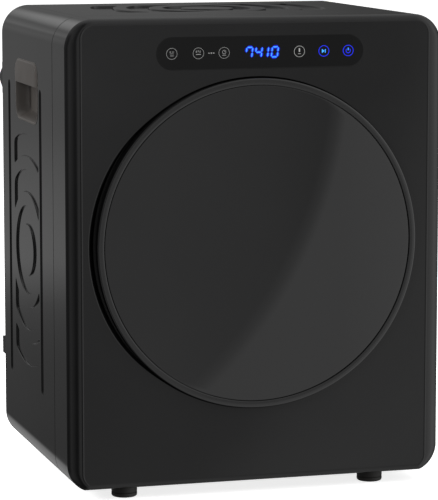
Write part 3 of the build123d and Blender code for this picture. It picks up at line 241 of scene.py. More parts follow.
SLOTS = {
    "front_gloss": FRONT, "casing_gloss": CASING, "door_gloss": RING, "door_glass": GLASS,
    "overlay_glass": OVERLAY_GLASS, "key_light": KEY_WHITE, "clear_bowl": BOWL, "grip_taupe": TAUPE,
    "foot_rubber": RUBBER, "soft_rubber": SOFT, "matte_black": MATTE, "rear_black": REAR,
    "black_screw": SCREW, "inner_plastic": INNER, "white_plastic": WHITE, "lint_plastic": LINT,
    "stainless": STAINLESS, "zinc": ZINC, "steel": STEEL, "bronze": BRONZE, "aluminium_cast": CAST,
    "lamination": LAMINATION, "heater_fins": FINS, "felt": FELT, "belt_rubber": BELT, "circuit": BOARD,
}
for part in frame["record"]["subparts"]:
    data = frame["nodes"][part["node"]].data
    data.materials.clear()
    data.materials.append(SLOTS[part["material_slot"]].material)
    data.shade_smooth()
    data.set_sharp_from_angle(angle=math.radians(SHARP))


# ---- mesh helpers ----
def piece(name, verts, faces, body, slot, material=None, replaces=(), sharp=SHARP):
    """A mesh in millimetres, riding on a CAD body."""
    mesh = bpy.data.meshes.new(name)
    mesh.from_pydata((np.asarray(verts, float) * MM).tolist(), [], faces)
    work = bmesh.new()
    work.from_mesh(mesh)
    bmesh.ops.remove_doubles(work, verts=work.verts, dist=1e-6)
    bmesh.ops.recalc_face_normals(work, faces=work.faces)
    work.to_mesh(mesh)
    work.free()
    mesh.shade_smooth()
    mesh.set_sharp_from_angle(angle=math.radians(sharp))
    mesh.materials.append((material or SLOTS[slot]).material)
    ob = bpy.data.objects.new(name, mesh)
    bpy.context.scene.collection.objects.link(ob)
    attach(ob, body)
    if replaces:
        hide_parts(*replaces)
    return ob


def ring_faces(rows, count, loop=False, closed=True, offset=0):
    """Quads between successive rings of count points; loop joins the last ring to the first."""
    faces = []
    last = count if closed else count - 1
    for i in range(rows if loop else rows - 1):
        a, b = offset + i * count, offset + (i + 1) % rows * count
        faces += [(a + j, a + (j + 1) % count, b + (j + 1) % count, b + j) for j in range(last)]
    return faces


def lathe(profile, steps):
    """Rings round the door axis, from (radius, y) pairs."""
    angles = np.linspace(0, 2 * np.pi, steps, endpoint=False)
    rows = [np.stack([r * np.cos(angles), np.full(steps, y), Z_DOOR + r * np.sin(angles)], 1)
            for r, y in profile]
    return np.concatenate(rows), len(profile), steps


def arc(cx, cy, r, start, end, steps):
    """Points on a circle between two angles in degrees."""
    a = np.radians(np.linspace(start, end, steps))
    return [(cx + r * math.cos(t), cy + r * math.sin(t)) for t in a]


def outline(inset_x, inset_z, r):
    """The casing's rounded outline in X and Z, anticlockwise from the bottom left corner."""
    bottom, corner, side, top = 60, 36, 110, 110        # points along each stretch
    half, low, high = HALF_W - inset_x, Z_LOW - CORNER_CUT + inset_z, Z_TOP - inset_z
    t = lambda n: np.linspace(0, 1, n, endpoint=False)
    quarter = lambda n, a: np.radians(a + 90 * t(n))
    x_flat, z_flat = half - r, (low + r, high - r)
    parts = [
        (-x_flat + 2 * x_flat * t(bottom), np.full(bottom, low)),
        (x_flat + r * np.cos(quarter(corner, -90)), z_flat[0] + r * np.sin(quarter(corner, -90))),
        (np.full(side, half), z_flat[0] + (z_flat[1] - z_flat[0]) * t(side)),
        (x_flat + r * np.cos(quarter(corner, 0)), z_flat[1] + r * np.sin(quarter(corner, 0))),
        (x_flat - 2 * x_flat * t(top), np.full(top, high)),
        (-x_flat + r * np.cos(quarter(corner, 90)), z_flat[1] + r * np.sin(quarter(corner, 90))),
        (np.full(side, -half), z_flat[1] - (z_flat[1] - z_flat[0]) * t(side)),
        (-x_flat + r * np.cos(quarter(corner, 180)), z_flat[0] + r * np.sin(quarter(corner, 180))),
    ]
    xs = np.concatenate([p[0] for p in parts])
    zs = np.maximum(np.concatenate([p[1] for p in parts]), Z_LOW + inset_z)
    return xs, zs


def box_verts(x0, x1, y0, y1, z0, z1):
    return [(x, y, z) for x in (x0, x1) for y in (y0, y1) for z in (z0, z1)]


BOX_FACES = [(0, 1, 3, 2), (4, 6, 7, 5), (0, 4, 5, 1), (2, 3, 7, 6), (0, 2, 6, 4), (1, 5, 7, 3)]


def cut(ob, verts, faces):
    """Cuts a closed shape, in millimetres, out of a piece."""
    mesh = bpy.data.meshes.new("cutter")
    mesh.from_pydata((np.asarray(verts, float) * MM).tolist(), [], faces)
    work = bmesh.new()
    work.from_mesh(mesh)
    bmesh.ops.recalc_face_normals(work, faces=work.faces)
    work.to_mesh(mesh)
    work.free()
    tool = bpy.data.objects.new("cutter", mesh)
    bpy.context.scene.collection.objects.link(tool)
    modifier = ob.modifiers.new("cut", "BOOLEAN")
    modifier.operation, modifier.solver, modifier.object = "DIFFERENCE", "EXACT", tool
    bpy.context.view_layer.update()
    result = bpy.data.meshes.new_from_object(ob.evaluated_get(bpy.context.evaluated_depsgraph_get()))
    ob.modifiers.remove(modifier)
    ob.data = result
    bpy.data.objects.remove(tool)
    bpy.data.meshes.remove(mesh)


def prism(points, y0, y1):
    """Closed prism along Y from an outline in X and Z."""
    n = len(points)
    verts = [(x, y, z) for y in (y0, y1) for x, z in points]
    faces = [tuple(range(n)), tuple(range(2 * n - 1, n - 1, -1))]
    return verts, faces + [(i, n + i, n + (i + 1) % n, (i + 1) % n) for i in range(n)]


# ---- front panel ----
def make_front_panel():
    """Soft-edged moulding with a fine bead round its face, the round recess and the mouth collar."""
    rows = []

    def add(inset_x, inset_z, r, y):
        xs, zs = outline(inset_x, inset_z, r)
        rows.append(np.stack([xs, np.full(len(xs), y), zs], 1))

    add(2.5, 2.5, BODY_R - 2.5, Y_SEAM)
    for inset, y in ((1.1, 0.0), (0.55, 0.12), (0.16, 0.45), (0.0, 1.0), (0.0, 1.4)):
        add(inset, inset, BODY_R - inset, Y_SEAM - y)
    slopes = np.radians(np.linspace(46, 5, 14))         # the bevel flattens towards the face
    lengths = np.concatenate([[0], np.cumsum(np.cos(slopes))])
    depths = np.concatenate([[0], np.cumsum(np.sin(slopes))])
    add(0, 0, BODY_R, Y_EDGE + 0.8)
    add(0.0, 0.0, BODY_R, Y_EDGE + 0.25)
    shares, drops = lengths / lengths[-1], depths / depths[-1]
    crease = np.array((0.008, 0.1, 0.4))        # rows that hold the shading of the bevel's edge
    shares = np.insert(shares, 1, crease * shares[1])
    drops = np.insert(drops, 1, crease * drops[1])
    for share, deep in zip(shares, drops):
        across = BEVEL_LIP + (BEVEL_SIDE - BEVEL_LIP) * share
        down = BEVEL_LIP + (BEVEL_TOP - BEVEL_LIP) * share
        add(across, down, BODY_R - across, Y_EDGE - BEVEL_DEEP * deep)
    bead = ((0.35, 0.16), (0.7, 0.26), (1.1, 0.26), (1.45, 0.14), (1.8, 0.0), (2.6, 0.0))
    for step, rise in bead:
        add(BEVEL_SIDE + step, BEVEL_TOP + step, BODY_R - BEVEL_SIDE - step, Y_FACE - rise)
    flat_face = (BEVEL_SIDE + 4, BEVEL_TOP + 4, BODY_R - BEVEL_SIDE - 4)
    xs, zs = outline(*flat_face)
    angles = np.arctan2(zs - Z_DOOR, xs)

    sweep = SCOOP_X * np.cos(angles) + np.sqrt(SCOOP_R ** 2 - (SCOOP_X * np.sin(angles)) ** 2)
    rim = soft_max(sweep, np.full(len(angles), R_RECESS), 1.5)
    share = np.clip((rim - R_RECESS - 0.4) / 3.0, 0, 1)
    soft = 0.9 + 2.8 * share            # the edge is softer along the scoop

    def circle(r, y):
        ys = np.zeros(len(angles)) + y
        rows.append(np.stack([r * np.cos(angles), ys, Z_DOOR + r * np.sin(angles)], 1))

    circle(rim + soft + 0.6, Y_FACE)
    for out, deep in arc(1, 1, 1, -90, -180, 12):
        circle(rim + soft * out, Y_FACE + soft * deep)
    circle(rim, Y_FLOOR - 1.5)
    for out, deep in arc(-1, -1, 1, 0, 90, 5):
        circle(rim + out, Y_FLOOR + deep)
    for r, y in arc(R_MOUTH + 2.5, Y_FLOOR + 2.5, 2.5, -90, -180, 6):
        circle(r, y)
    y_back = span("front_bulkhead", Y)[0] - 4.2
    for r, y in ((R_MOUTH, y_back), (R_MOUTH + 3, y_back), (R_MOUTH + 3, Y_FLOOR + 3),
                 (rim + 2.5, Y_FLOOR + 3), (rim + 2.5, Y_EDGE)):
        circle(r, y)
    add(*flat_face, Y_EDGE)
    add(2.5, 2.5, BODY_R - 2.5, Y_EDGE + 5)
    verts = np.concatenate(rows)
    ob = piece("front_moulding", verts, ring_faces(len(rows), len(xs), loop=True), "cabinet",
               "front_gloss", replaces=["front_panel"])
    through = (Y_FLOOR - 2, Y_FLOOR + 5)
    for side in (-1, 1):
        z = Z_DOOR + side * HINGE_ARM_Z
        cut(ob, box_verts(HINGE_X - 2.3, HINGE_X + 2.3, *through, z - 6.6, z + 6.6), BOX_FACES)
    slot_low, slot_high = Z_DOOR - R_MOUTH - 6, Z_DOOR - LINT_SLOT_TOP
    cut(ob, box_verts(-LINT_SLOT_HALF, LINT_SLOT_HALF, Y_FLOOR + 8, y_back - 4, slot_low, slot_high),
        BOX_FACES)
    strike = []
    for k, (sx, sz) in enumerate(((1, 1), (-1, 1), (-1, -1), (1, -1))):
        strike += arc(STRIKE_X + 7 * sx, Z_DOOR + 6 * sz, 2, 90 * k, 90 * k + 90, 5)
    cut(ob, *prism(strike, *through))
    plunger = arc(STRIKE_X + 2, Z_DOOR + 32, 3.5, 0, 345, 24)
    cut(ob, *prism(plunger, *through))
    ob.data.shade_smooth()
    ob.data.set_sharp_from_angle(angle=math.radians(SHARP))


# ---- casing ----
def side_field(y, z):
    """Distance outside the stamped recesses of a side; negative inside them."""
    dy, dz = y - PATTERN_Y, z - PATTERN_Z
    r = np.sqrt((dy / STRETCH) ** 2 + dz ** 2)
    field = np.full(y.shape, 1e3)
    clip = np.abs(dy) - 74.0
    for low, high in BANDS:
        field = np.minimum(field, soft_max(np.maximum(low - r, r - high), clip))
    for slot_y in (-52.0, 138.0):
        dz_slot = np.maximum(np.abs(z - 314.0) - 192.5, 0)
        field = np.minimum(field, np.sqrt((y - slot_y) ** 2 + dz_slot ** 2) - 7.0)
    return field


def top_field(x, y):
    """Distance outside the stamped recesses of the top; negative inside them."""
    dy = y - TOP_PATTERN_Y
    r = np.sqrt(x ** 2 + (dy / STRETCH) ** 2)
    field = np.full(x.shape, 1e3)
    clip = np.abs(dy) - 88.0
    for low, high in BANDS:
        field = np.minimum(field, soft_max(np.maximum(low - r, r - high), clip))
    return field


def soft_max(a, b, soft=7.0):
    """Largest of two distances, with the corner between them rounded."""
    h = np.clip(0.5 + 0.5 * (a - b) / soft, 0, 1)
    return a * h + b * (1 - h) + soft * h * (1 - h)


def contours(field, us, vs, level):
    """Closed curves where a field on a grid equals level, by marching squares."""
    f = field - level
    f[f == 0] = 1e-9
    inside = f < 0
    points, at = [], {}

    def crossing(i, j, k, l):
        key = (i, j, k, l)
        if key not in at:
            t = f[i, j] / (f[i, j] - f[k, l])
            at[key] = len(points)
            points.append((us[i] + t * (us[k] - us[i]), vs[j] + t * (vs[l] - vs[j])))
        return at[key]

    links = {}
    corner = inside[:-1, :-1] + 2 * inside[1:, :-1] + 4 * inside[1:, 1:] + 8 * inside[:-1, 1:]
    for i, j in zip(*np.nonzero((corner > 0) & (corner < 15))):
        edges = []
        if inside[i, j] != inside[i + 1, j]:
            edges.append(crossing(i, j, i + 1, j))
        if inside[i + 1, j] != inside[i + 1, j + 1]:
            edges.append(crossing(i + 1, j, i + 1, j + 1))
        if inside[i, j + 1] != inside[i + 1, j + 1]:
            edges.append(crossing(i, j + 1, i + 1, j + 1))
        if inside[i, j] != inside[i, j + 1]:
            edges.append(crossing(i, j, i, j + 1))
        for a, b in zip(edges[::2], edges[1::2]):
            links.setdefault(a, []).append(b)
            links.setdefault(b, []).append(a)
    loops, seen = [], set()
    for first in links:
        if first in seen:
            continue
        loop, here = [first], first
        seen.add(first)
        while True:
            onward = [n for n in links[here] if n not in seen]
            if not onward:
                break
            here = onward[0]
            seen.add(here)
            loop.append(here)
        loops.append(np.array([points[k] for k in loop]))
    return [loop for loop in loops if len(loop) > 12]


def resample(loop, spacing):
    """A closed curve with its points at an even spacing."""
    closed = np.vstack([loop, loop[:1]])
    run = np.concatenate([[0], np.cumsum(np.linalg.norm(np.diff(closed, axis=0), axis=1))])
    count = max(int(run[-1] / spacing), 12)
    where = np.linspace(0, run[-1], count, endpoint=False)
    return np.stack([np.interp(where, run, closed[:, k]) for k in (0, 1)], 1)


# A stamped wall, as distance from the shape's outline and share of RELIEF. A fine groove is at its foot.
WALL = ((0.5, 0.0), (0.15, 0.0), (-0.08, 0.2), (-0.3, 0.75),
        (-0.5, 1.16), (-0.72, 1.2), (-1.05, 1.0), (-1.7, 1.0))


def stamped_sheet(border, field, us, vs, hole=None):
    """A flat sheet inside border with recessed shapes: points in its plane, depths and triangles."""
    grid = np.meshgrid(us, vs, indexing="ij")
    values = field(*grid)
    flat, depth, edges = list(map(tuple, border)), [0.0] * len(border), []
    edges += [(i, (i + 1) % len(border)) for i in range(len(border))]

    def add_loop(loop, deep):
        first = len(flat)
        flat.extend(map(tuple, loop))
        depth.extend([deep] * len(loop))
        edges.extend((first + i, first + (i + 1) % len(loop)) for i in range(len(loop)))

    for level, share in WALL:
        for loop in contours(values.copy(), us, vs, level):
            add_loop(resample(loop, 2.2), RELIEF * share)
    if hole is not None:
        add_loop(hole, 0.0)
    out = delaunay_2d_cdt([Vector(p) for p in flat], edges, [], 0, 1e-5)
    points = np.array([tuple(p) for p in out[0]])
    deep = np.array([max((depth[k] for k in ids), default=0.0) for ids in out[3]])
    faces = [tuple(f) for f in out[2]]
    if hole is not None:
        middle = np.array([points[list(f)].mean(0) for f in faces])
        open_there = grip_distance(middle[:, 0], middle[:, 1]) < -0.05
        faces = [f for f, is_open in zip(faces, open_there) if not is_open]
    return points, deep, faces


def grip_distance(y, z):
    """Distance outside the grip's opening."""
    qy = np.abs(y - GRIP_Y) - (GRIP_W / 2 - GRIP_R)
    qz = np.abs(z - GRIP_Z) - (GRIP_H / 2 - GRIP_R)
    return np.hypot(np.maximum(qy, 0), np.maximum(qz, 0)) + np.minimum(np.maximum(qy, qz), 0) - GRIP_R


def grip_loop(inset, steps=12):
    """The grip's rounded opening, inset, anticlockwise in Y and Z."""
    r = GRIP_R - inset if inset < GRIP_R - 3 else 3.0
    half_y, half_z = GRIP_W / 2 - inset - r, GRIP_H / 2 - inset - r
    loop = []
    for k, (sy, sz) in enumerate(((1, -1), (1, 1), (-1, 1), (-1, -1))):
        loop += arc(GRIP_Y + sy * half_y, GRIP_Z + sz * half_z, r, -90 + 90 * k, 90 * k, steps)
    return np.array(loop)


def make_casing():
    """Pressed sheet wrap: two stamped sides, stamped top, round corners and folded rear edge."""
    z0, z1 = Z_LOW - CORNER_CUT + BODY_R, Z_TOP - BODY_R
    x1 = HALF_W - BODY_R
    inner = np.linspace(Y_CASE_FRONT + 1.4, Y_CASE_BACK - 1.6, 40)
    ys = np.concatenate([[Y_CASE_FRONT + 1.0], inner, [Y_CASE_BACK - 1.2]])
    verts, faces = [], []

    def add(points, tris):
        first = len(verts)
        verts.extend(map(tuple, points))
        faces.extend(tuple(first + k for k in f) for f in tris)

    def border(low, high, count):
        across = np.linspace(low, high, count)
        loop = [(ys[0], v) for v in across[::-1]] + [(y, low) for y in ys[1:-1]]
        return loop + [(ys[-1], v) for v in across] + [(y, high) for y in ys[::-1][1:-1]]

    us, vs = np.arange(-66.0, 152.0, 1.0), np.arange(106.0, 522.0, 1.0)
    points, deep, tris = stamped_sheet(border(z0, z1, 70), side_field, us, vs, grip_loop(0.0))
    for side in (-1, 1):
        add(np.stack([side * (HALF_W - deep), points[:, 0], points[:, 1]], 1), tris)
    us, vs = np.arange(-64.0, 124.0, 1.0), np.arange(-162.0, 163.0, 1.0)
    points, deep, tris = stamped_sheet(border(-x1, x1, 60), lambda y, x: top_field(x, y), us, vs)
    add(np.stack([points[:, 1], points[:, 0], Z_TOP - deep], 1), tris)
    corner = np.radians(np.linspace(0, 90, 37))
    for side in (-1, 1):
        for z_mid, up in ((z1, 1), (z0, -1)):
            across = side * (x1 + BODY_R * np.cos(corner))
            high = np.maximum(z_mid + up * BODY_R * np.sin(corner), Z_LOW)
            grid = [(x, y, z) for y in ys for x, z in zip(across, high)]
            add(grid, ring_faces(len(ys), len(corner), closed=False))
    x_low = x1 + BODY_R * math.sqrt(1 - (1 - CORNER_CUT / BODY_R) ** 2)
    under = [(x, y, Z_LOW) for y in ys for x in np.linspace(-x_low, x_low, 30)]
    add(under, ring_faces(len(ys), 30, closed=False))
    folds = (
        ((0.0, ys[0]), (0.16, Y_CASE_FRONT + 0.42), (0.5, Y_CASE_FRONT + 0.12), (1.0, Y_CASE_FRONT),
         (3.0, Y_CASE_FRONT)),
        ((0.0, ys[-1]), (0.15, Y_CASE_BACK - 0.6), (0.6, Y_CASE_BACK - 0.15), (1.2, Y_CASE_BACK),
         (2.6, Y_CASE_BACK), (2.9, Y_CASE_BACK - 2.0)),
    )
    for fold in folds:
        rows = []
        for inset, y in fold:
            xs, zs = outline(inset, inset, BODY_R - inset)
            rows.append(np.stack([xs, np.full(len(xs), y), zs], 1))
        add(np.concatenate(rows), ring_faces(len(rows), len(xs)))
    for side in (-1, 1):
        rows = []
        for inset, x in ((0.0, 0.0), (0.0, 0.15), (0.1, 1.2), (0.1, 3.0)):
            loop = grip_loop(inset)
            rows.append(np.stack([np.full(len(loop), side * (HALF_W - x)), loop[:, 0], loop[:, 1]], 1))
        add(np.concatenate(rows), ring_faces(len(rows), len(loop)))
    piece("casing_wrap", verts, faces, "cabinet", "casing_gloss", replaces=["casing"], sharp=50)


# ---- grips ----
def make_grip(side, node):
    """Moulded pocket with a bezel, sloping floor and a soft-edged finger plate over its upper part."""
    def loop_at(inset, depth, lift=0.0):
        loop = grip_loop(inset)
        if lift:
            share = np.clip((GRIP_Z - loop[:, 1]) / (GRIP_H / 2), 0, 1)
            loop[:, 1] += lift * share
        return np.stack([np.full(len(loop), side * (HALF_W - depth)), loop[:, 0], loop[:, 1]], 1)

    bezel = [loop_at(-0.1, 2.6), loop_at(-0.1, 0.1), loop_at(0.15, -0.35), loop_at(0.8, -0.55),
             loop_at(1.7, -0.5), loop_at(2.3, -0.1)]
    pocket = [loop_at(2.6, 0.9, 0.2), loop_at(2.9, 6.0, 2.4), loop_at(3.2, 12.0, 4.8),
              loop_at(3.8, 15.4, 6.0), loop_at(5.4, 17.3, 6.5), loop_at(8.2, 17.8, 6.5)]
    rows = bezel + pocket
    verts = np.concatenate(rows)
    faces = ring_faces(len(rows), len(rows[0]))
    last = (len(rows) - 1) * len(rows[0])
    faces.append(tuple(range(last, last + len(rows[0]))))
    piece(f"{node}_pocket", verts, faces, "cabinet", "grip_taupe", replaces=[node])

    low = GRIP_Z + GRIP_H / 2 - PLATE_H

    def plate_loop(inset, front, bottom):
        y0, y1 = GRIP_Y - GRIP_W / 2 + 1.6 + front, GRIP_Y + GRIP_W / 2 - 1.2 - inset
        z0, z1 = low + bottom, GRIP_Z + GRIP_H / 2 - 1.2 - inset
        r = max(GRIP_R - 1.2 - inset, 4.0)
        r_front = max(GRIP_R - 1.6 - front * 0.6, 4.0)
        loop = arc(y1 - 1.2, z0 + 1.2, 1.2, -90, 0, 6) + arc(y1 - r, z1 - r, r, 0, 90, 14)
        return np.array(loop + arc(y0 + r_front, z1 - r_front, r_front, 90, 180, 14)
                        + arc(y0 + 1.2, z0 + 1.2, 1.2, 180, 270, 6))

    rows = []
    under = PLATE_PROUD - PLATE_T
    profile = [(0.3, 5.4, 0.8, under), (0.0, 5.0, 0.3, under + 0.5), (0.0, 5.2, 0.0, -1.2),
               (0.0, 6.2, 0.0, -0.2), (0.2, 8.2, 0.1, 0.75), (0.6, 11.0, 0.4, 1.4),
               (1.3, 14.5, 0.9, 1.78), (2.4, 18.5, 1.7, PLATE_PROUD)]
    for inset, front, bottom, out in profile:
        loop = plate_loop(inset, front, bottom)
        rows.append(np.stack([np.full(len(loop), side * (HALF_W + out)), loop[:, 0], loop[:, 1]], 1))
    count = len(rows[0])
    faces = ring_faces(len(rows), count)
    faces.append(tuple(range(count)))
    faces.append(tuple(range((len(rows) - 1) * count, len(rows) * count)))
    piece(f"{node}_plate", np.concatenate(rows), faces, "cabinet", "grip_taupe", sharp=40)


# ---- door ----
def make_door():
    """Gloss ring with soft edges, and the smoked disc with a shallow crown."""
    y_web = Y_DISC + 3.8
    r_in = R_DISC + 0.5
    profile = [(R_WEB, y_web), (R_WEB, y_web + WEB_T), (R_DOOR - 8, y_web + WEB_T)]
    profile += [(R_DOOR - 3, y_web + 4), (R_DOOR - 3, Y_DOOR_BACK), (R_DOOR - 0.4, Y_DOOR_BACK)]
    profile += [(R_DOOR, Y_DOOR_BACK - 0.5)]
    profile += arc(R_DOOR - 2.2, Y_RING + 2.2, 2.2, 0, -90, 10)
    profile += [(R_DOOR - 4.5, Y_RING - 0.06)]
    profile += arc(r_in + 0.9, Y_RING + 0.9, 0.9, -90, -180, 6)
    profile += [(r_in, y_web)]
    verts, rows, steps = lathe(profile, 256)
    ob = piece("door_ring_gloss", verts, ring_faces(rows, steps, loop=True), "door", "door_gloss",
               replaces=["door_ring"])
    hinge_space = box_verts(HINGE_X - 5, R_DOOR + 5, -207.7, Y_DOOR_BACK + 1, Z_DOOR - 26, Z_DOOR + 26)
    cut(ob, hinge_space, BOX_FACES)
    ob.data.shade_smooth()
    ob.data.set_sharp_from_angle(angle=math.radians(SHARP))

    y_rim, y_back = Y_DISC + DISC_CROWN / 2, Y_DISC + DISC_T
    radii = np.linspace(1.0, R_DISC - 1.2, 40)
    profile = [(r, y_rim - DISC_CROWN * (1 - (r / R_DISC) ** 2)) for r in radii]
    profile += arc(R_DISC - 1.1, profile[-1][1] + 1.1, 1.1, -80, 0, 7)
    profile += [(R_DISC, y_back), (R_DISC - 1, y_back)]
    verts, rows, steps = lathe(profile, 256)
    faces = ring_faces(rows, steps)
    verts = np.vstack([verts, [(0, profile[0][1], Z_DOOR), (0, y_back, Z_DOOR)]])
    centre, back = len(verts) - 2, len(verts) - 1
    faces += [(centre, j, (j + 1) % steps) for j in range(steps)]
    base = (rows - 1) * steps
    faces += [(back, base + j, base + (j + 1) % steps) for j in range(steps)]
    piece("smoked_disc", verts, faces, "door", "door_glass", replaces=["door_disc"])


# ---- control panel ----
def stadium(x0, x1, z0, z1, inset, steps=32):
    r = (z1 - z0) / 2 - inset
    mid = (z0 + z1) / 2
    return arc(x1 - inset - r, mid, r, -90, 90, steps) + arc(x0 + inset + r, mid, r, 90, 270, steps)


Y_PRINT = Y_FACE - 0.30
PRINT_T = 0.12


def slab(name, shapes, material, thick=PRINT_T):
    """Thin lit print: closed outlines in X and Z, raised from the overlay."""
    verts, faces = [], []
    for shape in shapes:
        n, first = len(shape), len(verts)
        verts += [(x, Y_PRINT, z) for x, z in shape] + [(x, Y_PRINT - thick, z) for x, z in shape]
        faces += [tuple(range(first, first + n)), tuple(range(first + 2 * n - 1, first + n - 1, -1))]
        for i in range(n):
            onward = (i + 1) % n
            faces.append((first + i, first + n + i, first + n + onward, first + onward))
    return piece(name, verts, faces, "cabinet", "key_light", material)


def annulus(name, x, z, r_out, r_in, material, start=0, end=360):
    """Thin lit ring or part of one."""
    whole = end - start >= 360
    steps = 64
    angles = np.radians(np.linspace(start, end, steps, endpoint=not whole))
    rows = []
    for r, dy in ((r_in, 0), (r_in, -PRINT_T), (r_out, -PRINT_T), (r_out, 0)):
        ys = np.full(steps, Y_PRINT + dy)
        rows.append(np.stack([x + r * np.cos(angles), ys, z + r * np.sin(angles)], 1))
    faces = ring_faces(4, steps, loop=True, closed=whole)
    if not whole:
        first_end = tuple(k * steps for k in range(4))
        last_end = tuple(k * steps + steps - 1 for k in range(3, -1, -1))
        faces += [first_end, last_end]
    return piece(name, np.concatenate(rows), faces, "cabinet", "key_light", material)


def bar(x0, z0, x1, z1, width):
    """A straight stroke with square ends."""
    dx, dz = x1 - x0, z1 - z0
    length = math.hypot(dx, dz)
    nx, nz = -dz / length * width / 2, dx / length * width / 2
    return [(x0 + nx, z0 + nz), (x0 - nx, z0 - nz), (x1 - nx, z1 - nz), (x1 + nx, z1 + nz)]


SEGMENTS = {"a": ((0, 1), (1, 1)), "b": ((1, 1), (1, 0.5)), "c": ((1, 0.5), (1, 0)), "d": ((0, 0), (1, 0)),
            "e": ((0, 0), (0, 0.5)), "f": ((0, 0.5), (0, 1)), "g": ((0, 0.5), (1, 0.5))}
DIGITS = {"7": "abcf", "4": "fgbc", "1": "bc", "0": "abcdef"}


DIGIT_W, DIGIT_H, DIGIT_LEAN = 7.8, 12.6, 0.13


def digit_strokes(char, x, z, width, gap):
    """Seven-segment digit with pointed segment ends, slanted to the right."""
    shapes = []
    for key in DIGITS[char]:
        (u0, v0), (u1, v1) = SEGMENTS[key]
        ends = []
        for u, v in ((u0, v0), (u1, v1)):
            ends.append((x + u * DIGIT_W, z + (v - 0.5) * DIGIT_H))
        (ax, az), (bx, bz) = ends
        length = math.hypot(bx - ax, bz - az)
        ux, uz = (bx - ax) / length, (bz - az) / length
        nx, nz = -uz * width / 2, ux * width / 2
        ax, az, bx, bz = ax + ux * gap, az + uz * gap, bx - ux * gap, bz - uz * gap
        h = width / 2
        shape = [(ax, az), (ax + ux * h - nx, az + uz * h - nz), (bx - ux * h - nx, bz - uz * h - nz),
                 (bx, bz), (bx - ux * h + nx, bz - uz * h + nz), (ax + ux * h + nx, az + uz * h + nz)]
        shapes.append([(px + DIGIT_LEAN * (pz - z), pz) for px, pz in shape])
    return shapes


def make_controls():
    """Dark overlay, six touch keys with their symbols, and the lit clock digits."""
    x0, x1, z0, z1 = OVERLAY
    rows = []
    for inset, y in ((0.0, 1.2), (0.0, -0.1), (0.12, -0.24), (0.4, -0.3), (2.0, -0.3)):
        loop = np.array(stadium(x0, x1, z0, z1, inset))
        rows.append(np.stack([loop[:, 0], np.full(len(loop), Y_FACE + y), loop[:, 1]], 1))
    count = len(rows[0])
    faces = ring_faces(len(rows), count) + [tuple(range(count)), tuple(range(4 * count, 5 * count))]
    piece("overlay_plate", np.concatenate(rows), faces, "cabinet", "overlay_glass",
          replaces=["control_overlay"])

    left, right, key_r = *KEYS_X, 7.1
    keys = [left + 7.0, left + 41.5, left + 75.0, right - 72.0, right - 39.5, right - 7.0]
    strokes = ((KEY_GREY, 0.42), (KEY_GREY, 0.42), (KEY_GREY, 0.42), (KEY_WHITE, 0.5), (BLUE_RING_AND_HALO, 0.8),
               (BLUE_RING_AND_HALO, 0.8))
    for index, (x, (finish, thick)) in enumerate(zip(keys, strokes)):
        ob = annulus(f"key_ring_{index}", x, KEY_Z, key_r, key_r - thick, finish)
        if index == 0:
            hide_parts("key_marks")
    a, b, c, d, e, f = keys
    z = KEY_Z
    slab("key_glyph_0", [
        bar(a - 2.9, z + 2.2, a - 1.1, z + 2.2, 0.8),
        bar(a + 0.2, z + 2.2, a + 2.9, z + 2.2, 0.6),
        bar(a - 2.6, z - 0.1, a + 2.6, z - 0.1, 0.5),
        bar(a - 2.0, z - 2.6, a + 2.4, z - 2.6, 0.6)], KEY_GREY)
    slab("key_glyph_1", [
        bar(b - 2.8, z + 0.6, b - 2.8, z + 3.4, 0.8),
        bar(b - 0.4, z + 1.4, b - 0.4, z + 3.8, 0.7),
        bar(b + 2.1, z + 0.6, b + 2.1, z + 3.4, 0.8),
        bar(b - 3.2, z - 1.4, b + 3.2, z - 1.4, 0.8)], KEY_GREY)
    annulus("key_glyph_2", c, z + 1.0, 2.5, 2.0, KEY_GREY)
    slab("key_glyph_2_base", [
        bar(c - 2.4, z - 3.0, c + 2.4, z - 3.0, 0.6),
        bar(c, z + 1.0, c + 1.3, z + 2.0, 0.5)], KEY_GREY)
    mid = (b + c) / 2
    bow = []
    for s in (-1, 1):
        inner, outer, peak = mid + s * 1.6, mid + s * 4.6, mid + s * 3.0
        bow.append([(inner, z), (peak, z - 0.7), (outer, z), (peak, z + 0.7)])
    slab("mark_between", bow + [arc(mid, z, 0.9, 0, 340, 18)], KEY_GREY)
    slab("key_glyph_3", [
        bar(d, z - 0.6, d, z + 4.0, 1.7),
        bar(d - 1.7, z - 2.9, d + 1.7, z - 2.9, 0.6)], KEY_WHITE)
    slab("key_glyph_4", [[(e - 2.6, z - 2.7), (e - 2.6, z + 2.7), (e + 0.9, z)],
                         bar(e + 1.9, z - 2.3, e + 1.9, z + 2.3, 1.0)], BLUE_CORE)
    annulus("key_glyph_5", f, z - 0.1, 3.3, 2.4, BLUE_RING_AND_HALO, start=128, end=412)
    slab("key_glyph_5_bar", [bar(f, z + 0.4, f, z + 3.6, 1.1)], BLUE_CORE)

    places = (("7", -15.0), ("4", -2.6), ("1", 5.8), ("0", 18.6))
    for index, (char, x) in enumerate(places):
        # each segment is drawn three times: a bright core, then round it a wider, dimmer stroke and a still
        # wider glow stroke that paint the fringe and halo of its light in the smoked glass
        for layer, width, gap, finish, thick in (("glow", 4.6, -0.6, BLUE_GLOW, 0.03),
                                                 ("edge", 2.9, 0.0, BLUE_RING_AND_HALO, 0.08),
                                                 ("core", 1.2, 0.7, BLUE_CORE, 0.14)):
            slab(f"digit_{index}_{layer}", digit_strokes(char, x, z, width, gap), finish, thick)


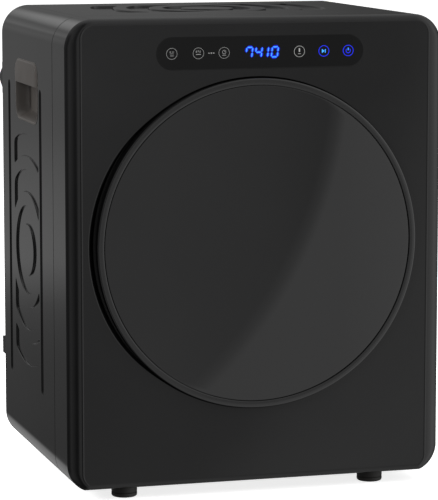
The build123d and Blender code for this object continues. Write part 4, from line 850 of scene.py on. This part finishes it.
# ---- feet ----
def make_foot(node):
    """Rubber foot with a ribbed rim, a soft tread edge and a neck."""
    x, y = (sum(span(node, axis)) / 2 for axis in (X, Y))
    r = (span(node, X)[1] - span(node, X)[0]) / 2
    high = Z_LOW
    profile = [(7.0, 8.0), (7.0, 0.6), (7.6, 0.0), (r - 3.2, 0.0)] + arc(r - 2.6, 2.6, 2.6, -80, 0, 8)
    profile += [(r, 5.2), (r - 0.7, 5.7), (r - 0.7, 6.3), (r, 6.8), (r, high - 3.6)]
    profile += arc(r - 1.5, high - 3.2, 1.5, 15, 90, 6)
    profile += [(r - 3.4, high - 1.6), (r - 3.6, high), (3.3, high), (3.3, 8.0)]
    steps = 72
    angles = np.linspace(0, 2 * np.pi, steps, endpoint=False)
    rows = [np.stack([x + pr * np.cos(angles), y + pr * np.sin(angles), np.full(steps, pz)], 1)
            for pr, pz in profile]
    piece(f"{node}_rubber", np.concatenate(rows), ring_faces(len(rows), steps, loop=True), "cabinet",
          "foot_rubber", replaces=[node])


make_front_panel()
make_casing()
make_grip(-1, "grip_left")
make_grip(1, "grip_right")
make_door()
make_controls()
for corner_name in ("front_left", "front_right", "rear_left", "rear_right"):
    make_foot(f"foot_{corner_name}")


# ---- floor, light and camera ----
def make_floor():
    """Wide pale sheet, left out of the reflections."""
    mesh = bpy.data.meshes.new("floor")
    reach = 30.0
    corners = [(-reach, -reach, 0), (reach, -reach, 0), (reach, reach, 0), (-reach, reach, 0)]
    mesh.from_pydata(corners, [], [(0, 1, 2, 3)])
    finish = Finish("floor_paper", (0.86, 0.86, 0.86), 0.9, Specular_IOR_Level=0.0, Emission_Strength=0.8)
    finish.shader.inputs["Emission Color"].default_value = (1, 1, 1, 1)
    finish.vary_color(finish.noise(1.2, 4), (0.84, 0.84, 0.84))
    mesh.materials.append(finish.material)
    ob = bpy.data.objects.new("floor", mesh)
    bpy.context.scene.collection.objects.link(ob)
    ob.visible_glossy = ob.visible_diffuse = False


def area(name, place, target, size, power):
    """A soft square light that shows in no reflection."""
    light = bpy.data.lights.new(name, "AREA")
    light.shape, light.size, light.energy = "SQUARE", size, power
    ob = bpy.data.objects.new(name, light)
    ob.location = place
    ob.rotation_euler = (Vector(target) - Vector(place)).to_track_quat("-Z", "Y").to_euler()
    ob.visible_camera = ob.visible_glossy = False
    bpy.context.scene.collection.objects.link(ob)


def make_world():
    """White to the camera; everything else sees soft bright and dark bands, behind and ahead of the face."""
    world = bpy.data.worlds.new("studio")
    bpy.context.scene.world = world
    world.use_nodes = True
    tree = world.node_tree
    tree.nodes.clear()
    new = tree.nodes.new
    coord = new("ShaderNodeTexCoord")
    split = new("ShaderNodeSeparateXYZ")
    tree.links.new(coord.outputs["Generated"], split.inputs[0])

    def ramp(source, low, high, stops):
        scale = new("ShaderNodeMapRange")
        scale.inputs["From Min"].default_value = low
        scale.inputs["From Max"].default_value = high
        tree.links.new(source, scale.inputs["Value"])
        colors = new("ShaderNodeValToRGB")
        elements = colors.color_ramp.elements
        while len(elements) < len(stops):
            elements.new(0.5)
        for element, (at, value) in zip(elements, stops):
            element.position = (at - low) / (high - low)
            element.color = (value, value, value, 1)
        tree.links.new(scale.outputs["Result"], colors.inputs["Fac"])
        return colors.outputs["Color"]

    def distance(x, z):
        plane = new("ShaderNodeCombineXYZ")
        tree.links.new(split.outputs["X"], plane.inputs["X"])
        tree.links.new(split.outputs["Z"], plane.inputs["Z"])
        away = new("ShaderNodeVectorMath")
        away.operation = "DISTANCE"
        away.inputs[1].default_value = (x, 0, z)
        tree.links.new(plane.outputs[0], away.inputs[0])
        return away.outputs["Value"]

    def blend(share, a, b):
        mix = new("ShaderNodeMix")
        mix.data_type = "RGBA"
        for source, socket in ((share, 0), (a, 6), (b, 7)):
            tree.links.new(source, mix.inputs[socket])
        return mix.outputs[2]

    low_left = ramp(split.outputs["Z"], -1, 1, (
        (-1, 0.05), (-0.62, 0.12), (-0.5, 0.36), (-0.26, 0.38), (-0.212, 0.085), (-0.173, 0.105),
        (-0.158, 0.13), (-0.14, 0.3), (-0.115, 0.26), (-0.09, 0.19), (-0.02, 0.19), (0.05, 0.24),
        (0.1, 0.22), (0.13, 0.32), (0.19, 0.2), (0.23, 0.5), (0.6, 0.5), (1, 0.5)))
    above_top = ramp(split.outputs["Z"], -1, 1, (
        (-1, 0.22), (-0.1, 0.1), (0.02, 0.06), (0.14, 0.065), (0.4, 0.4), (1, 0.5)))
    to_right = ramp(split.outputs["X"], -1, 1, (
        (-1, 0.0), (0.02, 0.0), (0.14, 0.66), (0.27, 0.7), (0.33, 1.0), (1, 1.0)))
    behind = blend(to_right, low_left, above_top)
    sweep = ramp(split.outputs["X"], -1, 1, (
        (-1, 0.2), (-0.9, 0.05), (-0.78, 0.34), (-0.62, 0.22), (-0.4, 0.05), (-0.25, 0.06),
        (-0.1, 0.43), (0.2, 0.41), (0.3, 0.36), (0.4, 0.24), (1, 0.2)))
    bright = ramp(split.outputs["X"], -1, 1, (
        (-1, 0.5), (0.2, 0.58), (0.36, 0.6), (0.45, 0.72), (0.8, 0.95), (1, 1.15)))
    out_of_cap = ramp(distance(-0.006, 0.021), 0, 2, ((0, 0.0), (0.363, 0.0), (0.375, 1.0), (2, 1.0)))
    to_light = ramp(split.outputs["X"], -1, 1, ((-1, 0.0), (0.0, 0.0), (0.1, 1.0), (1, 1.0)))
    gate = new("ShaderNodeMath")
    gate.operation = "MULTIPLY"
    tree.links.new(out_of_cap, gate.inputs[0])
    tree.links.new(to_light, gate.inputs[1])
    ahead = blend(gate.outputs[0], sweep, bright)
    turn = ramp(split.outputs["Y"], -1, 1, ((-1, 0.0), (-0.3, 0.0), (0.4, 1.0), (1, 1.0)))
    room = blend(turn, ahead, behind)
    seen = new("ShaderNodeLightPath")
    final = new("ShaderNodeMix")
    final.data_type = "RGBA"
    final.inputs[7].default_value = (1, 1, 1, 1)
    tree.links.new(seen.outputs["Is Camera Ray"], final.inputs[0])
    tree.links.new(room, final.inputs[6])
    back = new("ShaderNodeBackground")
    tree.links.new(final.outputs[2], back.inputs["Color"])
    tree.links.new(back.outputs[0], new("ShaderNodeOutputWorld").inputs[0])


make_floor()
make_world()
area("top_light", (0.3, -0.6, 4.2), (0, 0, 0), 5.0, 130)
area("front_left_light", (-0.8, -0.95, 0.75), (-0.1, -0.2, 0.35), 0.5, 5)
area("rear_left_light", (-1.3, 0.75, 0.7), (-0.25, 0.03, 0.5), 0.3, 11)

camera = bpy.data.cameras.new("camera")
camera.lens, camera.sensor_width = 198.08, 36.0
camera.clip_start, camera.clip_end = 0.05, 100
camera_ob = bpy.data.objects.new("camera", camera)
camera_ob.location = (-1.0148, -3.5076, 0.7937)
camera_ob.rotation_euler = (math.radians(90) - 0.13725, 0, -0.28364)
bpy.context.scene.collection.objects.link(camera_ob)
bpy.context.scene.camera = camera_ob
bpy.context.scene.view_settings.view_transform = "Standard"
